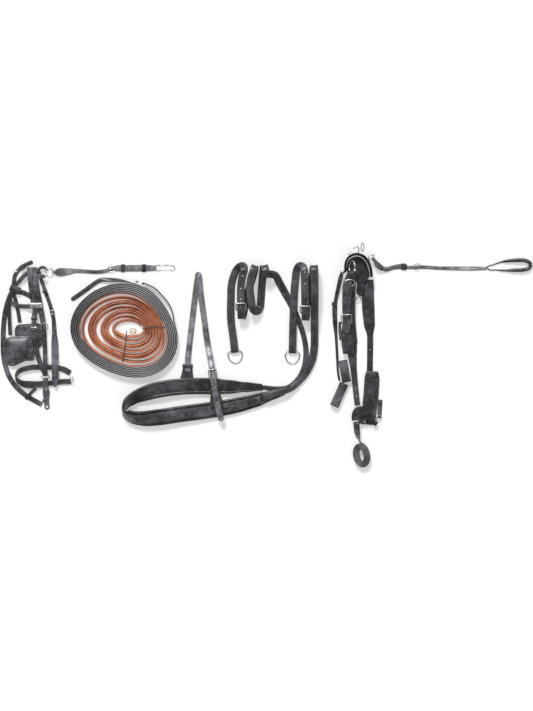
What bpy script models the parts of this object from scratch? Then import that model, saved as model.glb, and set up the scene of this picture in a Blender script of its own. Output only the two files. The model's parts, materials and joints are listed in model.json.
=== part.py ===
"""Pony driving harness, laid out flat on the floor in four sets and seen from above.

+X runs along the row of sets, from the bridle on the left to the crupper on the right. +Y runs from
the strap ends up to the crown and the saddle top. +Z is up and z = 0 is the floor.

Tables whose names end in PX hold places in the plan picture (x to the right, y down) and, third, the
strap level there: level 0 lies on the floor, and each level is one strap and one clearance higher.
"""

import math

import bpy
import numpy as np

# Gaps and the sizes of the sets, in metres
CLEARANCE = 0.0003
BRIDLE_HEIGHT = 0.488
OVERCHECK_LENGTH = 0.422
COIL_LENGTH = 0.356
COLLAR_SET_LENGTH = 0.650
SADDLE_DROP = 0.720
BACK_STRAP_LENGTH = 0.558
BRIDLE_TO_COIL = 0.038
OVERCHECK_TO_COIL = 0.016
COIL_TO_COLLAR = 0.022
COIL_TO_NECK_STRAP = 0.021
OVERCHECK_TO_NECK_STRAP = 0.034
COLLAR_TO_SADDLE = 0.038

# Leathers
BRIDLE_LEATHER = 0.0026
OVERCHECK_LEATHER = 0.0026
REIN_LEATHER = 0.0036
COLLAR_LEATHER = 0.0035
TRACE_LEATHER = 0.0045
SADDLE_LEATHER = 0.0034
BACK_STRAP_LEATHER = 0.0032

# Strap widths
CROWN_WIDTH = 0.033
CHEEK_WIDTH = 0.017
THROATLATCH_WIDTH = 0.013
SIDE_STRAP_WIDTH = 0.017
STAY_WIDTH = 0.013
BROWBAND_WIDTH = 0.015
NOSEBAND_WIDTH = 0.019
NOSEBAND_PAD = 0.006
POLL_STRAP_WIDTH = 0.014
BIT_STRAP_WIDTH = 0.016
OVERCHECK_WIDTH = 0.013
REIN_WIDTH = 0.022
REIN_END_WIDTH = 0.015
HAND_PART_WIDTH = 0.017
HAND_PART_LEATHER = 0.0034
COLLAR_WIDTH = 0.055
COLLAR_PAD = 0.010
COLLAR_STRAP_WIDTH = 0.034
COLLAR_STRAP_GAP = 0.0008
NECK_STRAP_WIDTH = 0.020
TUG_FOOT_WIDTH = 0.044
TRACE_WIDTH = 0.0254
SEAT_WIDTH = 0.044
SEAT_LEATHER = 0.008
SADDLE_PAD = 0.009
SKIRT_WIDTH = 0.040
GIRTH_STRAP_WIDTH = 0.021
GIRTH_WIDTH = 0.050
GIRTH_PAD = 0.009
TUG_STRAP_WIDTH = 0.032
TUG_BILLET_SHARE = 0.84
SHAFT_TUG_WIDTH = 0.041
SLEEVE_STRAP_WIDTH = 0.011
BACK_STRAP_WIDTH = 0.019
BELLY_STRAP_WIDTH = 0.020

# Metalwork
BUCKLE_SIDE_GAP = 0.0012
TONGUE_WIRE = 0.0018
TONGUE_SIDES = 5
TONGUE_SIDE_GAP = 0.0007
TONGUE_OVERHANG = 0.002
CHEEK_BUCKLE_SPAN = 0.026
NECK_BUCKLE_SPAN = 0.034
TRACE_BUCKLE_SPAN = 0.022
TUG_BUCKLE_SPAN = 0.028
TRACE_RING_WIDTH = 0.052
TRACE_RING_DEPTH = 0.046
TRACE_RING_WIRE = 0.0044
HOLE_WIDTH = 0.004
BIT_RING_WIRE = 0.003
CHECK_RING_WIRE = 0.003
SNAP_WIRE = 0.0036
GATE_WIRE = 0.0022
TERRET_WIRE = 0.004
GIRTH_RING_WIRE = 0.003
BACK_BUCKLE_HALF = 0.0105
BACK_BUCKLE_DEPTH = 0.014
DOCK_RADIUS = 0.0065
DOCK_POINTS = 34

# How finely curves are drawn
SPAN_STEPS = 12
LONGEST_STEP = 0.060
TURN_STEP = math.radians(15)
TIP_STATION_SHARES = (0, 0.12, 0.4, 1)
TIP_LEAST_SHARE = 0.3
TIP_ROOM_SHARE = 1.4
FULL_TURN = 2 * math.pi
QUARTER_TURN = math.pi / 2
WRAP_TAIL_SHARE = 2.5
PLATE_RING_SHARES = (1, 0.86, 0.5)

FINISHES = {
    "black_leather": ((0.030, 0.030, 0.032, 1), 0.42, 0),
    "worn_leather": ((0.075, 0.075, 0.078, 1), 0.38, 0),
    "russet_leather": ((0.400, 0.130, 0.045, 1), 0.48, 0),
    "nickel": ((0.620, 0.620, 0.610, 1), 0.22, 1),
}


# Making objects


def clear_scene():
    for item in list(bpy.data.objects):
        bpy.data.objects.remove(item)


def finish(name):
    """A Principled material in one of the harness's finishes."""
    colour, roughness, metallic = FINISHES[name]
    material = bpy.data.materials.new(name)
    material.use_nodes = True
    shader = material.node_tree.nodes["Principled BSDF"]
    shader.inputs["Base Color"].default_value = colour
    shader.inputs["Roughness"].default_value = roughness
    shader.inputs["Metallic"].default_value = metallic
    return material


def piece(name, points, faces, look, pivot=(0, 0, 0)):
    """A named object from world points, with its origin at the pivot. Four-sided faces are cut in two along
    their shorter diagonal, so that a twisted strap has one definite surface."""
    points, pivot = np.asarray(points, float), np.asarray(pivot, float)
    cut = []
    for face in faces:
        a, b, c, d = face if len(face) == 4 else (0, 0, 0, 0)
        if len(face) != 4:
            cut.append(face)
        elif np.linalg.norm(points[a] - points[c]) <= np.linalg.norm(points[b] - points[d]):
            cut += [(a, b, c), (a, c, d)]
        else:
            cut += [(a, b, d), (b, c, d)]
    mesh = bpy.data.meshes.new(name)
    mesh.from_pydata((points - pivot).tolist(), [], [list(map(int, f)) for f in cut])
    mesh.materials.append(finish(look))
    mesh.shade_smooth()
    mesh.set_sharp_from_angle(angle=math.radians(40))
    made = bpy.data.objects.new(name, mesh)
    made.location = pivot.tolist()
    bpy.context.scene.collection.objects.link(made)
    return made


# Lines that straps follow


def unit(vector):
    vector = np.asarray(vector, float)
    return vector / np.linalg.norm(vector, axis=-1, keepdims=True)


def eased(low, high, shares):
    """Values that pass from low to high, level at both ends."""
    return low + (high - low) * shares * shares * (3 - 2 * shares)


def smooth(rows, closed=False):
    """A dense line through rows of (x, y, z, ...): a cubic curve in x and y, with the rest eased."""
    rows = np.asarray(rows, float)
    if closed:
        rows = np.vstack([rows, rows[:1]])
    leg = np.diff(rows[:, :2], axis=0)
    length = np.maximum(np.linalg.norm(leg, axis=1, keepdims=True), CLEARANCE)
    slope = leg / length
    inner = (slope[:-1] * length[1:] + slope[1:] * length[:-1]) / (length[1:] + length[:-1])
    if closed:
        seam = (slope[-1:] * length[:1] + slope[:1] * length[-1:]) / (length[:1] + length[-1:])
        slopes = np.vstack([seam, inner, seam])
    else:
        slopes = np.vstack([slope[:1], inner, slope[-1:]])
    line = []
    for i in range(len(leg)):
        t = np.arange(SPAN_STEPS)[:, None] / SPAN_STEPS
        rise = 3 * t**2 - 2 * t**3
        flat = rows[i, :2] + leg[i] * rise
        flat = flat + length[i] * (slopes[i] * (t - 2 * t**2 + t**3) + slopes[i + 1] * (t**3 - t**2))
        line.append(np.hstack([flat, eased(rows[i, 2:], rows[i + 1, 2:], t)]))
    if not closed:
        line.append(rows[-1:])
    return np.vstack(line)


def distances(line):
    return np.concatenate([[0], np.cumsum(np.linalg.norm(np.diff(line[:, :3], axis=0), axis=1))])


def at_distance(line, places):
    """Rows of the line at distances along it."""
    along = distances(line)
    return np.column_stack([np.interp(places, along, line[:, k]) for k in range(line.shape[1])])


def nearest_index(line, spot):
    """The line's point nearest a place given as (x, y) or (x, y, z)."""
    return int(np.argmin(np.linalg.norm(line[:, :len(spot)] - np.asarray(spot), axis=1)))


def nearest_distance(line, spot):
    """Distance along the line to its point nearest a place."""
    fine = at_distance(line, np.linspace(0, distances(line)[-1], 40 * SPAN_STEPS))
    return distances(line)[-1] * nearest_index(fine, spot) / (len(fine) - 1)


def on_line(line, plan, place_px, level):
    """The point of the line nearest a picture place at a strap level."""
    return line[nearest_index(line, [*plan.spot(place_px), plan.height(level)])]


def stations(line, longest=LONGEST_STEP, turn=TURN_STEP):
    """Distances along the line, closer together where it bends."""
    along = distances(line)
    heading = unit(np.diff(line[:, :3], axis=0))
    bend = np.arccos(np.clip((heading[:-1] * heading[1:]).sum(axis=1), -1, 1))
    bend = np.concatenate([[0], bend]) if len(bend) else np.zeros(1)
    cost = np.concatenate([[0], np.cumsum(np.diff(along) / longest + bend / turn)])
    count = max(int(math.ceil(cost[-1])), 2)
    return np.interp(np.linspace(0, cost[-1], count + 1), cost, along)


def fold(start, stop, toward):
    """Points of a half turn from one end to another, bulging toward a direction on the floor."""
    middle, half = (start[:3] + stop[:3]) / 2, (start[:3] - stop[:3]) / 2
    turn = np.linspace(0, math.pi, 9)[1:-1, None]
    bulge = np.array([*unit(toward), 0]) * np.linalg.norm(half)
    return np.hstack([middle + half * np.cos(turn) + bulge * np.sin(turn), np.full((7, 1), start[3])])


def headings(line, closed=False):
    if closed:
        return unit(np.roll(line[:, :3], -1, axis=0) - np.roll(line[:, :3], 1, axis=0))
    return unit(np.gradient(line[:, :3], axis=0))


def across_of(heading):
    """Unit vectors across a strap that lies face up. Where it stands upright they carry on as before."""
    made = []
    for t in heading:
        level = np.array([-t[1], t[0], 0.0])
        size = np.linalg.norm(level)
        if not made:
            made.append(level / size if size > CLEARANCE else np.array([1.0, 0.0, 0.0]))
            continue
        kept = unit(made[-1] - t * (made[-1] @ t))
        steep = size < 0.5
        sign = 1 if level @ made[-1] >= 0 else -1
        made.append(kept if steep else sign * level / size)
    return np.array(made)


# Straps, tubes and plates


def tip_stations(places, end, rounding, tips):
    """Adds stations close together at each rounded tip."""
    for side, rounded in zip((0, end), tips):
        if rounded:
            places = places[np.abs(places - side) > rounding * TIP_ROOM_SHARE]
            places = np.concatenate([places, np.abs(side - rounding * np.array(TIP_STATION_SHARES))])
    return np.unique(places)


def tip_width(places, end, rounding, tips):
    """The share of the width left at each station by the rounded tips."""
    share = np.ones(len(places))
    for side, rounded in zip((0, end), tips):
        if rounded:
            inward = np.clip(np.abs(places - side) / rounding, 0, 1)
            share = np.minimum(share, np.sqrt(np.maximum(1 - (1 - inward) ** 2, TIP_LEAST_SHARE**2)))
    return share


def strap(name, line, width, leather, look, across=None, slots=(), tips=(False, False), pivot=(0, 0, 0),
          longest=LONGEST_STEP, turn=TURN_STEP, places=None):
    """A flat strap along a line. The line's fourth column, where it has one, is the share of the width there.

    slots holds (distance, half length, half width) of each hole through it. Where places is given, the
    strap's sections are at these distances.
    """
    line = np.asarray(line, float)
    if line.shape[1] == 3:
        line = np.column_stack([line, np.ones(len(line))])
    end = distances(line)[-1]
    rounding = width / 2 * line[[0, -1], 3].min()
    places = tip_stations(stations(line, longest, turn) if places is None else places, end, rounding, tips)
    half_hole = {}
    for centre, half_length, half_width in slots:
        ends = (places == 0) | (places == end)
        places = places[ends | (np.abs(places - centre) > half_length + half_width)]
        corner = half_width * math.tan(QUARTER_TURN / 4)
        for side in (-1, 1):
            half_hole[centre + side * half_length] = corner
            half_hole[centre + side * (half_length - half_width + corner)] = half_width
    places = np.unique(np.concatenate([places, list(half_hole)]))
    share = tip_width(places, end, rounding, tips)
    spots = at_distance(line, places)
    along = distances(line)
    heading = headings(line)
    if across is None:
        sideways = across_of(heading)
    elif np.ndim(across) == 1:
        sideways = unit(across - heading * (heading @ np.asarray(across))[:, None])
    else:
        sideways = across
    sideways = unit(np.column_stack([np.interp(places, along, sideways[:, k]) for k in range(3)]))
    heading = unit(np.column_stack([np.interp(places, along, heading[:, k]) for k in range(3)]))
    up = unit(np.cross(heading, sideways))
    half = width / 2 * spots[:, 3] * share
    corners = ((-1, -1), (1, -1), (1, 1), (-1, 1))

    def corner_points(reach):
        """The four corners of the section at each station, this far from the middle line."""
        points = [spots[:, :3] + sideways * (reach * a)[:, None] + up * leather / 2 * b for a, b in corners]
        return np.stack(points, axis=1)

    if not slots:
        return piece(name, *tube_faces(corner_points(half)), look, pivot)
    middle = np.array([half_hole.get(p, 0) for p in places])
    open_after = [any(c - h - CLEARANCE < p < c + h - CLEARANCE for c, h, _ in slots) for p in places[:-1]]
    faces = slotted_faces(corner_points(half), corner_points(middle), middle > 0, open_after)
    return piece(name, *faces, look, pivot)


def tube_faces(rings, closed=False):
    """Points and faces of a body whose cross-sections are the rings, each drawn round its heading."""
    count, sides = rings.shape[:2]
    faces = []
    for i in range(count if closed else count - 1):
        a, b = i * sides, (i + 1) % count * sides
        for j in range(sides):
            k = (j + 1) % sides
            faces.append((a + j, a + k, b + k, b + j))
    if not closed:
        faces.append(tuple(range(sides))[::-1])
        faces.append(tuple(range((count - 1) * sides, count * sides)))
    return rings.reshape(-1, 3), faces


def slotted_faces(outer, inner, cut, open_after):
    """As tube_faces, for rings of four corners that gain four inner points where cut is true.

    The part between the inner points is left out after each station that open_after marks."""
    points, rings = [], []
    for corners, middles, both in zip(outer, inner, cut):
        start = len(points)
        points += list(corners) + (list(middles) if both else [])
        low = [start, start + 4, start + 5, start + 1] if both else [start, start + 1]
        high = [start + 2, start + 6, start + 7, start + 3] if both else [start + 2, start + 3]
        rings.append((low, high))
    faces = []
    for i, is_open in enumerate(open_after):
        (low, high), (next_low, next_high) = rings[i], rings[i + 1]
        faces.append((low[-1], high[0], next_high[0], next_low[-1]))
        faces.append((high[-1], low[0], next_low[0], next_high[-1]))
        if not is_open:
            faces.append(tuple(low + next_low[::-1]))
            faces.append(tuple(high + next_high[::-1]))
            continue
        for a, b in ((low, next_low), (high, next_high)):
            faces += [(a[0], a[1], b[1], b[0]), (a[2], a[3], b[3], b[2])]
        faces.append((low[1], high[2], next_high[2], next_low[1]))
        faces.append((high[1], low[2], next_low[2], next_high[1]))
        if not open_after[i - 1]:
            faces.append((low[1], low[2], high[1], high[2]))
        if not open_after[i + 1]:
            faces.append((next_low[2], next_low[1], next_high[2], next_high[1]))
    for (low, high), flip in ((rings[0], True), (rings[-1], False)):
        ring = tuple(low + high)
        faces.append(ring[::-1] if flip else ring)
    return np.array(points), faces


def swept(name, line, section, look, across=None, closed=False, pivot=(0, 0, 0)):
    """A body along a line, with its section as (across, through) pairs, one set for all or one per point."""
    line = np.asarray(line, float)
    heading = headings(line, closed)
    sideways = across_of(heading) if across is None else np.broadcast_to(across, heading.shape)
    up = unit(np.cross(heading, sideways))
    section = np.broadcast_to(section, (len(line),) + np.shape(section)[-2:])
    rings = line[:, None, :3] + section[..., :1] * sideways[:, None] + section[..., 1:] * up[:, None]
    return piece(name, *tube_faces(rings, closed), look, pivot)


def loop_strap(name, centre, long_half, short_half, along, aside, width, leather, look, sides=20):
    """A strap sewn into a closed oval in the plane of along and aside, its width square to them."""
    turn = FULL_TURN * np.arange(sides) / sides
    line = np.asarray(centre, float) + long_half * np.cos(turn)[:, None] * along
    line = line + short_half * np.sin(turn)[:, None] * aside
    section = np.array([(-1, -1), (1, -1), (1, 1), (-1, 1)]) * (width / 2, leather / 2)
    return swept(name, line, section, look, across=-np.cross(along, aside), closed=True)


def plate(name, outline, height, thickness, look, dome=0, pivot=(0, 0, 0)):
    """A flat or domed panel inside a closed outline, standing no lower than height at its underside."""
    outline = np.asarray(outline, float)[:, :2]
    middle = outline.mean(axis=0)
    count = len(outline)
    layers = []
    for lift in (0, thickness):
        for share in PLATE_RING_SHARES:
            z = height + lift + dome * (1 - share * share)
            layers.append(np.column_stack([middle + (outline - middle) * share, np.full(count, z)]))
    points = list(np.vstack(layers))
    rings = len(PLATE_RING_SHARES)
    lower, upper = len(points), len(points) + 1
    points += [np.array([*middle, height + dome]), np.array([*middle, height + thickness + dome])]
    faces = []
    for j in range(count):
        k = (j + 1) % count
        for ring in range(rings - 1):
            a, b = ring * count, (ring + 1) * count
            faces.append((a + k, a + j, b + j, b + k))
            a, b = a + rings * count, b + rings * count
            faces.append((a + j, a + k, b + k, b + j))
        faces.append((j, k, rings * count + k, rings * count + j))
        inmost = (rings - 1) * count
        faces.append((inmost + k, inmost + j, lower))
        faces.append((inmost + j + rings * count, inmost + k + rings * count, upper))
    if signed_area(outline) < 0:
        faces = [f[::-1] for f in faces]
    return piece(name, points, faces, look, pivot)


def signed_area(outline):
    x, y = outline[:, 0], outline[:, 1]
    return ((x * np.roll(y, -1) - np.roll(x, -1) * y).sum()) / 2


def few(line, count):
    """A closed outline's points, evenly spaced and this many."""
    closed = np.vstack([line, line[:1]])
    return at_distance(closed, np.linspace(0, distances(closed)[-1], count + 1)[:-1])


def round_section(radius, sides=6):
    turn = FULL_TURN * (np.arange(sides) + 0.5) / sides
    return radius * np.column_stack([np.cos(turn), np.sin(turn)])


def padded_section(width, depth):
    """A soft strap's section: rounded rolls along both edges and a slight hollow between them."""
    roll_share, hollow_share = 0.80, 0.72
    rows = [(1, 0), (0.94, roll_share), (0.80, 1), (0.58, hollow_share)]
    upper = rows + [(-a, b) for a, b in rows[::-1]]
    lower = [(a, -b) for a, b in upper[1:-1][::-1]]
    return np.array(upper + lower) * (width / 2, depth / 2)


def arc(centre, radius, start, stop, count):
    """Points on an arc of the floor plan, with the angles in radians."""
    turn = np.linspace(start, stop, count)
    return np.column_stack([centre[0] + radius * np.cos(turn), centre[1] + radius * np.sin(turn)])


class Plan:
    """Where one set lies: turns picture places and strap levels into metres."""

    def __init__(self, size, size_px, anchor_px, anchor, leather):
        self.scale = size / size_px
        self.anchor_px = np.asarray(anchor_px, float)
        self.anchor = np.asarray(anchor, float)
        self.leather = leather

    def spot(self, place):
        """The floor place of a picture place."""
        along, down = np.asarray(place, float)[:2] - self.anchor_px
        return self.anchor + self.scale * np.array([along, -down])

    def height(self, level):
        """Height of the middle of a strap at this level."""
        return self.leather / 2 + level * (self.leather + CLEARANCE)

    def rows(self, table):
        """The rows (x, y, level, ...) of a table, in metres."""
        return np.array([[*self.spot(row), self.height(row[2]), *row[3:]] for row in table])

    def line(self, table, closed=False):
        return smooth(self.rows(table), closed)


class Buckle:
    """A bar buckle lying face up: its strap end is wrapped round the hinge bar, and the billet passes over
    that bar, through the frame and under the outer bar, with the tongue up through it."""

    def __init__(self, plan, bar, toward, level, width, span, rise=2):
        self.plan = plan
        self.bar = np.asarray(bar, float)[:2]
        self.toward = unit(np.asarray(toward, float)[:2] - self.bar)
        self.level, self.rise, self.width, self.span = level, rise, width, span
        self.wire = plan.leather / 2
        self.pitch = plan.leather + CLEARANCE
        self.side = np.array([self.toward[1], -self.toward[0], 0])
        self.hinge = np.array([*self.bar, plan.height(level)])
        self.tilt = math.atan2((rise + 1) * self.pitch, span)

    def place(self, along, up):
        """A point in the buckle's upright middle plane, from the hinge bar."""
        return self.hinge + np.array([*(self.toward * along), up])

    def frame(self, name):
        """The frame: a rounded rectangle of wire, higher at its outer bar."""
        half = self.width / 2 + BUCKLE_SIDE_GAP + self.wire
        corner = 2 * self.wire
        slope = np.array([*(self.toward * math.cos(self.tilt)), math.sin(self.tilt)])
        reach = math.hypot(self.span, (self.rise + 1) * self.pitch)
        loop = []
        for turn, (a, b) in enumerate(((1, 0), (1, 1), (-1, 1), (-1, 0))):
            start = -QUARTER_TURN + turn * QUARTER_TURN
            centre = (a * (half - corner), corner if b == 0 else reach - corner)
            loop += arc(centre, corner, start, start + QUARTER_TURN, 3).tolist()
        line = np.array([self.hinge + self.side * x + slope * y for x, y in loop])
        normal = np.cross(self.side, slope)
        return swept(name, line, round_section(self.wire), "nickel", across=-normal, closed=True)

    def tongue(self, name):
        """The tongue: wire curled round the hinge bar, its straight part lying on the outer bar."""
        radius = self.wire + CLEARANCE + TONGUE_WIRE / 2
        curl = self.tilt + QUARTER_TURN + np.radians(np.linspace(215, 0, 7))
        points = [self.place(radius * math.cos(a), radius * math.sin(a)) for a in curl]
        reach = math.hypot(self.span, (self.rise + 1) * self.pitch) + TONGUE_OVERHANG
        slope = self.place(math.cos(self.tilt), math.sin(self.tilt)) - self.hinge
        points += [points[-1] + slope * reach * share for share in (0.5, 1)]
        section = round_section(TONGUE_WIRE / 2, TONGUE_SIDES)
        return swept(name, points, section, "nickel", across=self.side, pivot=self.hinge)

    def chape_end(self):
        """The last points of the strap that carries the buckle, round its bar from above to below."""
        turn = np.linspace(QUARTER_TURN, -QUARTER_TURN, 9)
        wrap = [self.place(self.pitch * math.cos(a), self.pitch * math.sin(a)) for a in turn]
        tail = self.place(-WRAP_TAIL_SHARE * self.pitch, -self.pitch)
        return np.array(wrap + [tail])

    def half_slot(self):
        return TONGUE_WIRE / 2 + TONGUE_SIDE_GAP

    def chape_slot(self, line):
        """The slot that the tongue's curl sits in, for a line that ends with chape_end."""
        end = distances(line)[-1]
        tail = WRAP_TAIL_SHARE * self.pitch
        wrap = math.pi * self.pitch
        reach = self.wire + CLEARANCE + TONGUE_WIRE + 2 * TONGUE_SIDE_GAP
        start, stop = end - tail - wrap - reach, end - tail + reach
        return ((start + stop) / 2, (stop - start) / 2, self.half_slot())

    def billet_slot(self, line):
        """The worn hole in the billet that the tongue stands in, long enough to let it swing up."""
        centre = nearest_distance(line, self.place(0, self.rise * self.pitch))
        later = at_distance(line, [centre, centre + self.pitch])
        sign = 1 if (later[1, :2] - later[0, :2]) @ self.toward > 0 else -1
        above = self.rise * self.pitch + self.plan.leather / 2 + TONGUE_WIRE / 2
        radius = self.wire + CLEARANCE + TONGUE_WIRE / 2
        far = (above - radius * math.cos(self.tilt)) / math.tan(self.tilt) - radius * math.sin(self.tilt)
        near = -(radius + TONGUE_WIRE / 2 + TONGUE_SIDE_GAP)
        far = far + TONGUE_WIRE / 2 + 2 * TONGUE_SIDE_GAP
        return (centre + sign * (near + far) / 2, (far - near) / 2, self.half_slot())


def wrap_end(line, wire, leather):
    """Carries a line that ends above a bar round it and a little way back below.

    Gives the line, the bar's middle and the way that the line came."""
    pitch = (wire + leather) / 2 + CLEARANCE
    toward = unit(line[-1, :2] - line[-2, :2])
    centre = line[-1, :3] - [0, 0, pitch]
    turn = np.linspace(QUARTER_TURN, -QUARTER_TURN, 9)[1:]
    ends = [centre + np.array([*(toward * pitch * math.cos(a)), pitch * math.sin(a)]) for a in turn]
    ends.append(centre + np.array([*(-toward * WRAP_TAIL_SHARE * pitch), -pitch]))
    ends = np.column_stack([ends, np.full(len(ends), line[-1, 3])])
    return np.vstack([line, ends]), centre, toward


def ring_line(centre, half_width, depth, corner, count=7):
    """A D shape in the plan: a straight bar at the top and a round bow below it, closed."""
    bow = []
    for a in np.linspace(0, -math.pi, 2 * count + 1):
        bow.append((half_width * math.cos(a), -corner + (depth - corner) * math.sin(a)))
    top = [(-half_width + corner, 0), (half_width - corner, 0)]
    points = np.array(top + bow)
    return np.column_stack([points + np.asarray(centre)[:2], np.full(len(points), centre[2])])


def hung_ring(name, centre, toward, half_width, depth, wire):
    """A D ring hung by its bar and tipped down until its bow lies on the floor."""
    flat = ring_line((0, 0, 0), half_width, depth, 2 * wire)
    tip = math.asin((centre[2] - wire / 2) / depth)
    side = np.array([-toward[1], toward[0], 0])
    down = np.array([*(toward * math.cos(tip)), -math.sin(tip)])
    points = centre + flat[:, :1] * side - flat[:, 1:2] * down
    return swept(name, points, round_section(wire / 2, 8), "nickel", across=np.cross(side, down), closed=True,
                 pivot=centre)


def hole(line, spot):
    """A punched hole at the place on a strap nearest the spot."""
    return (nearest_distance(line, spot), HOLE_WIDTH / 2, HOLE_WIDTH / 2)


# The reins


COIL_PX = (124.8, 330.7)
COIL_SIZE_PX = (108.2, 96.6)
TURN_APART = 0.075
GAP_STEP = 0.006
MILLIMETRES = 1000
RUSSET_LAYERS = 9
COIL_POINTS = 24
COIL_GAP = 0.0022
COIL_LEAN_SHARE, COIL_CORNER_SHARE = 0.063, 0.035
COIL_CORNER_ANGLE = math.radians(12)
HOLE_CENTRE_PX = (129.5, 329)
HOLE_SIZE_PX = (27, 15)
NEAR_START = -4.9 * math.pi
FAR_START = -5.9 * math.pi
FREE_END_ANGLE = 0.44 * math.pi
LOOSE_END_ANGLE = 0.06 * math.pi
HAND_PART_APART = 0.006
HAND_PART_LEAN = math.radians(31)
LEAN_LAYERS = 1.6
HAND_PART_WAVE = 0.005
BUNCH_SHARE, BUNCH_LEFT_SHARE = 0.24, 0.19
BUNCH_LAYERS = 3
FREE_END_PX = ((122.5, 281.3), (110, 280.5), (100.5, 280.8), (96, 283.2), (91, 286.8), (84, 292),
               (71.5, 300.7))
LOOSE_END_PX = ((172.4, 311), (168.3, 303), (162, 295.4), (155.5, 289), (149, 285.6), (143.7, 283.6))


def coil_outline(turn, centre, size):
    """The coil's outer edge: an ellipse leaned over and drawn out at three corners."""
    corners = COIL_CORNER_SHARE * np.cos(3 * (turn - COIL_CORNER_ANGLE))
    share = 1 - COIL_LEAN_SHARE * np.sin(2 * turn) - corners
    return centre + np.column_stack([size[0] / 2 * share * np.cos(turn), size[1] / 2 * share * np.sin(turn)])


def inward(turn, centre, size):
    """Unit vectors from the outline into the coil, square to it."""
    step = math.radians(1)
    along = unit(coil_outline(turn + step, centre, size) - coil_outline(turn - step, centre, size))
    return np.column_stack([-along[:, 1], along[:, 0]])


def black_turns(first, start, stop, centre, size):
    """One rein's black part, standing on edge: layers are counted inwards from where the outer one leaves."""
    pitch = REIN_LEATHER + COIL_GAP
    turn = start + FULL_TURN / COIL_POINTS * np.arange(round((stop - start) / FULL_TURN * COIL_POINTS) + 1)
    depth = REIN_LEATHER / 2 + pitch * (first + 2 * (LOOSE_END_ANGLE - turn) / FULL_TURN)
    flat = coil_outline(turn, centre, size) + inward(turn, centre, size) * depth[:, None]
    return np.column_stack([flat, np.full(len(turn), REIN_WIDTH / 2)])


def russet_turns(start, centre, size, hole_centre, hole_size):
    """One rein's hand part: it goes on inwards from the end of the black part, leans out a little, and
    bunches with its neighbours on the way to the oval hole."""
    pitch = REIN_LEATHER + COIL_GAP
    depth = REIN_LEATHER / 2 + pitch * (1 + (LOOSE_END_ANGLE - NEAR_START) / math.pi)
    gone = FULL_TURN / COIL_POINTS * np.arange(RUSSET_LAYERS * COIL_POINTS // 2 + 1)
    gone[0] = HAND_PART_APART
    turn, layer = start - gone, gone / math.pi
    outer = coil_outline(turn, centre, size) + inward(turn, centre, size) * depth
    inner = hole_centre + np.column_stack([hole_size[0] / 2 * np.cos(turn), hole_size[1] / 2 * np.sin(turn)])
    bunch = (BUNCH_SHARE - BUNCH_LEFT_SHARE * np.cos(turn)) * np.sin(layer * FULL_TURN / BUNCH_LAYERS)
    share = (layer - bunch) / RUSSET_LAYERS
    toward = unit(np.column_stack([np.cos(turn), np.sin(turn)]))
    wave = HAND_PART_WAVE * np.sin(2 * turn + turn / 5) * share * (1 - share)
    flat = outer + (inner - outer) * share[:, None] + toward * wave[:, None]
    lean = eased(0, HAND_PART_LEAN, np.clip(layer / LEAN_LAYERS, 0, 1))
    height = (HAND_PART_WIDTH * np.cos(lean) + HAND_PART_LEATHER * np.sin(lean)) / 2
    across = np.column_stack([toward * np.sin(lean)[:, None], np.cos(lean)])
    return np.column_stack([flat, height]), across


def least_gap(lines, size):
    """The least gap in millimetres between turns of one coil, whose straps are this thick or this wide."""
    least = math.inf
    for k, line in enumerate(lines):
        fine = at_distance(line, np.arange(0, distances(line)[-1], GAP_STEP))
        for other in lines[k:]:
            rest = at_distance(other, np.arange(0, distances(other)[-1], GAP_STEP))
            gap = np.linalg.norm(fine[:, None, :3] - rest[None, :, :3], axis=2)
            if other is line:
                index = np.arange(len(fine))
                gap[np.abs(index[:, None] - index[None, :]) * GAP_STEP < TURN_APART] = math.inf
            least = min(least, gap.min())
    return round(MILLIMETRES * (least - size), 2)


def reins(plan):
    centre = plan.spot(COIL_PX)
    size = plan.scale * np.array(COIL_SIZE_PX)
    free = np.array([[*plan.spot(p), REIN_END_WIDTH / 2] for p in FREE_END_PX])
    loose = np.array([[*plan.spot(p), REIN_WIDTH / 2] for p in LOOSE_END_PX])
    near = black_turns(1, NEAR_START, FREE_END_ANGLE, centre, size)
    far = black_turns(0, FAR_START, LOOSE_END_ANGLE, centre, size)
    print("least gap between black turns, mm:", least_gap([near, far], REIN_LEATHER))
    ends = []
    for name, turns, tail, flattened in (("near_rein", near, free, True), ("far_rein", far, loose, False)):
        line = np.vstack([turns, smooth(np.vstack([turns[-1:], tail]))[1:]])
        along = distances(line)
        rolled = np.clip((along - distances(turns)[-1]) / (along[-1] - distances(turns)[-1]) * 1.6, 0, 1)
        rolled = eased(0, 1, rolled) if flattened else np.zeros(len(line))
        heading = headings(line)
        level = unit(np.column_stack([-heading[:, 1], heading[:, 0], np.zeros(len(line))]))
        angle = QUARTER_TURN * (1 - rolled)
        across = level * np.cos(angle)[:, None] + np.array([0, 0, 1]) * np.sin(angle)[:, None]
        narrow = 1 - (1 - REIN_END_WIDTH / REIN_WIDTH) * np.clip(rolled * 1.5, 0, 1)
        height = REIN_WIDTH / 2 * narrow * np.sin(angle) + REIN_LEATHER / 2 * np.cos(angle)
        line = np.column_stack([line[:, :2], height, narrow])
        ends.append(line)
        coiled = distances(turns)
        places = np.concatenate([coiled[:-1], coiled[-1] + stations(line[len(turns) - 1:])])
        strap(name, line, REIN_WIDTH, REIN_LEATHER, "black_leather", across=across, tips=(False, True),
              places=places)
    hole_centre = plan.spot(HOLE_CENTRE_PX)
    hole_size = plan.scale * np.array(HOLE_SIZE_PX)
    lines = []
    for name, start in (("near_hand_part", NEAR_START), ("far_hand_part", FAR_START)):
        line, across = russet_turns(start, centre, size, hole_centre, hole_size)
        lines.append(line)
        strap(name, line, HAND_PART_WIDTH, HAND_PART_LEATHER, "russet_leather", across=across,
              places=distances(line))
    print("least gap between russet turns, mm:",
          least_gap(lines, HAND_PART_LEATHER / math.cos(HAND_PART_LEAN)))


# The breast collar and traces


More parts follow.
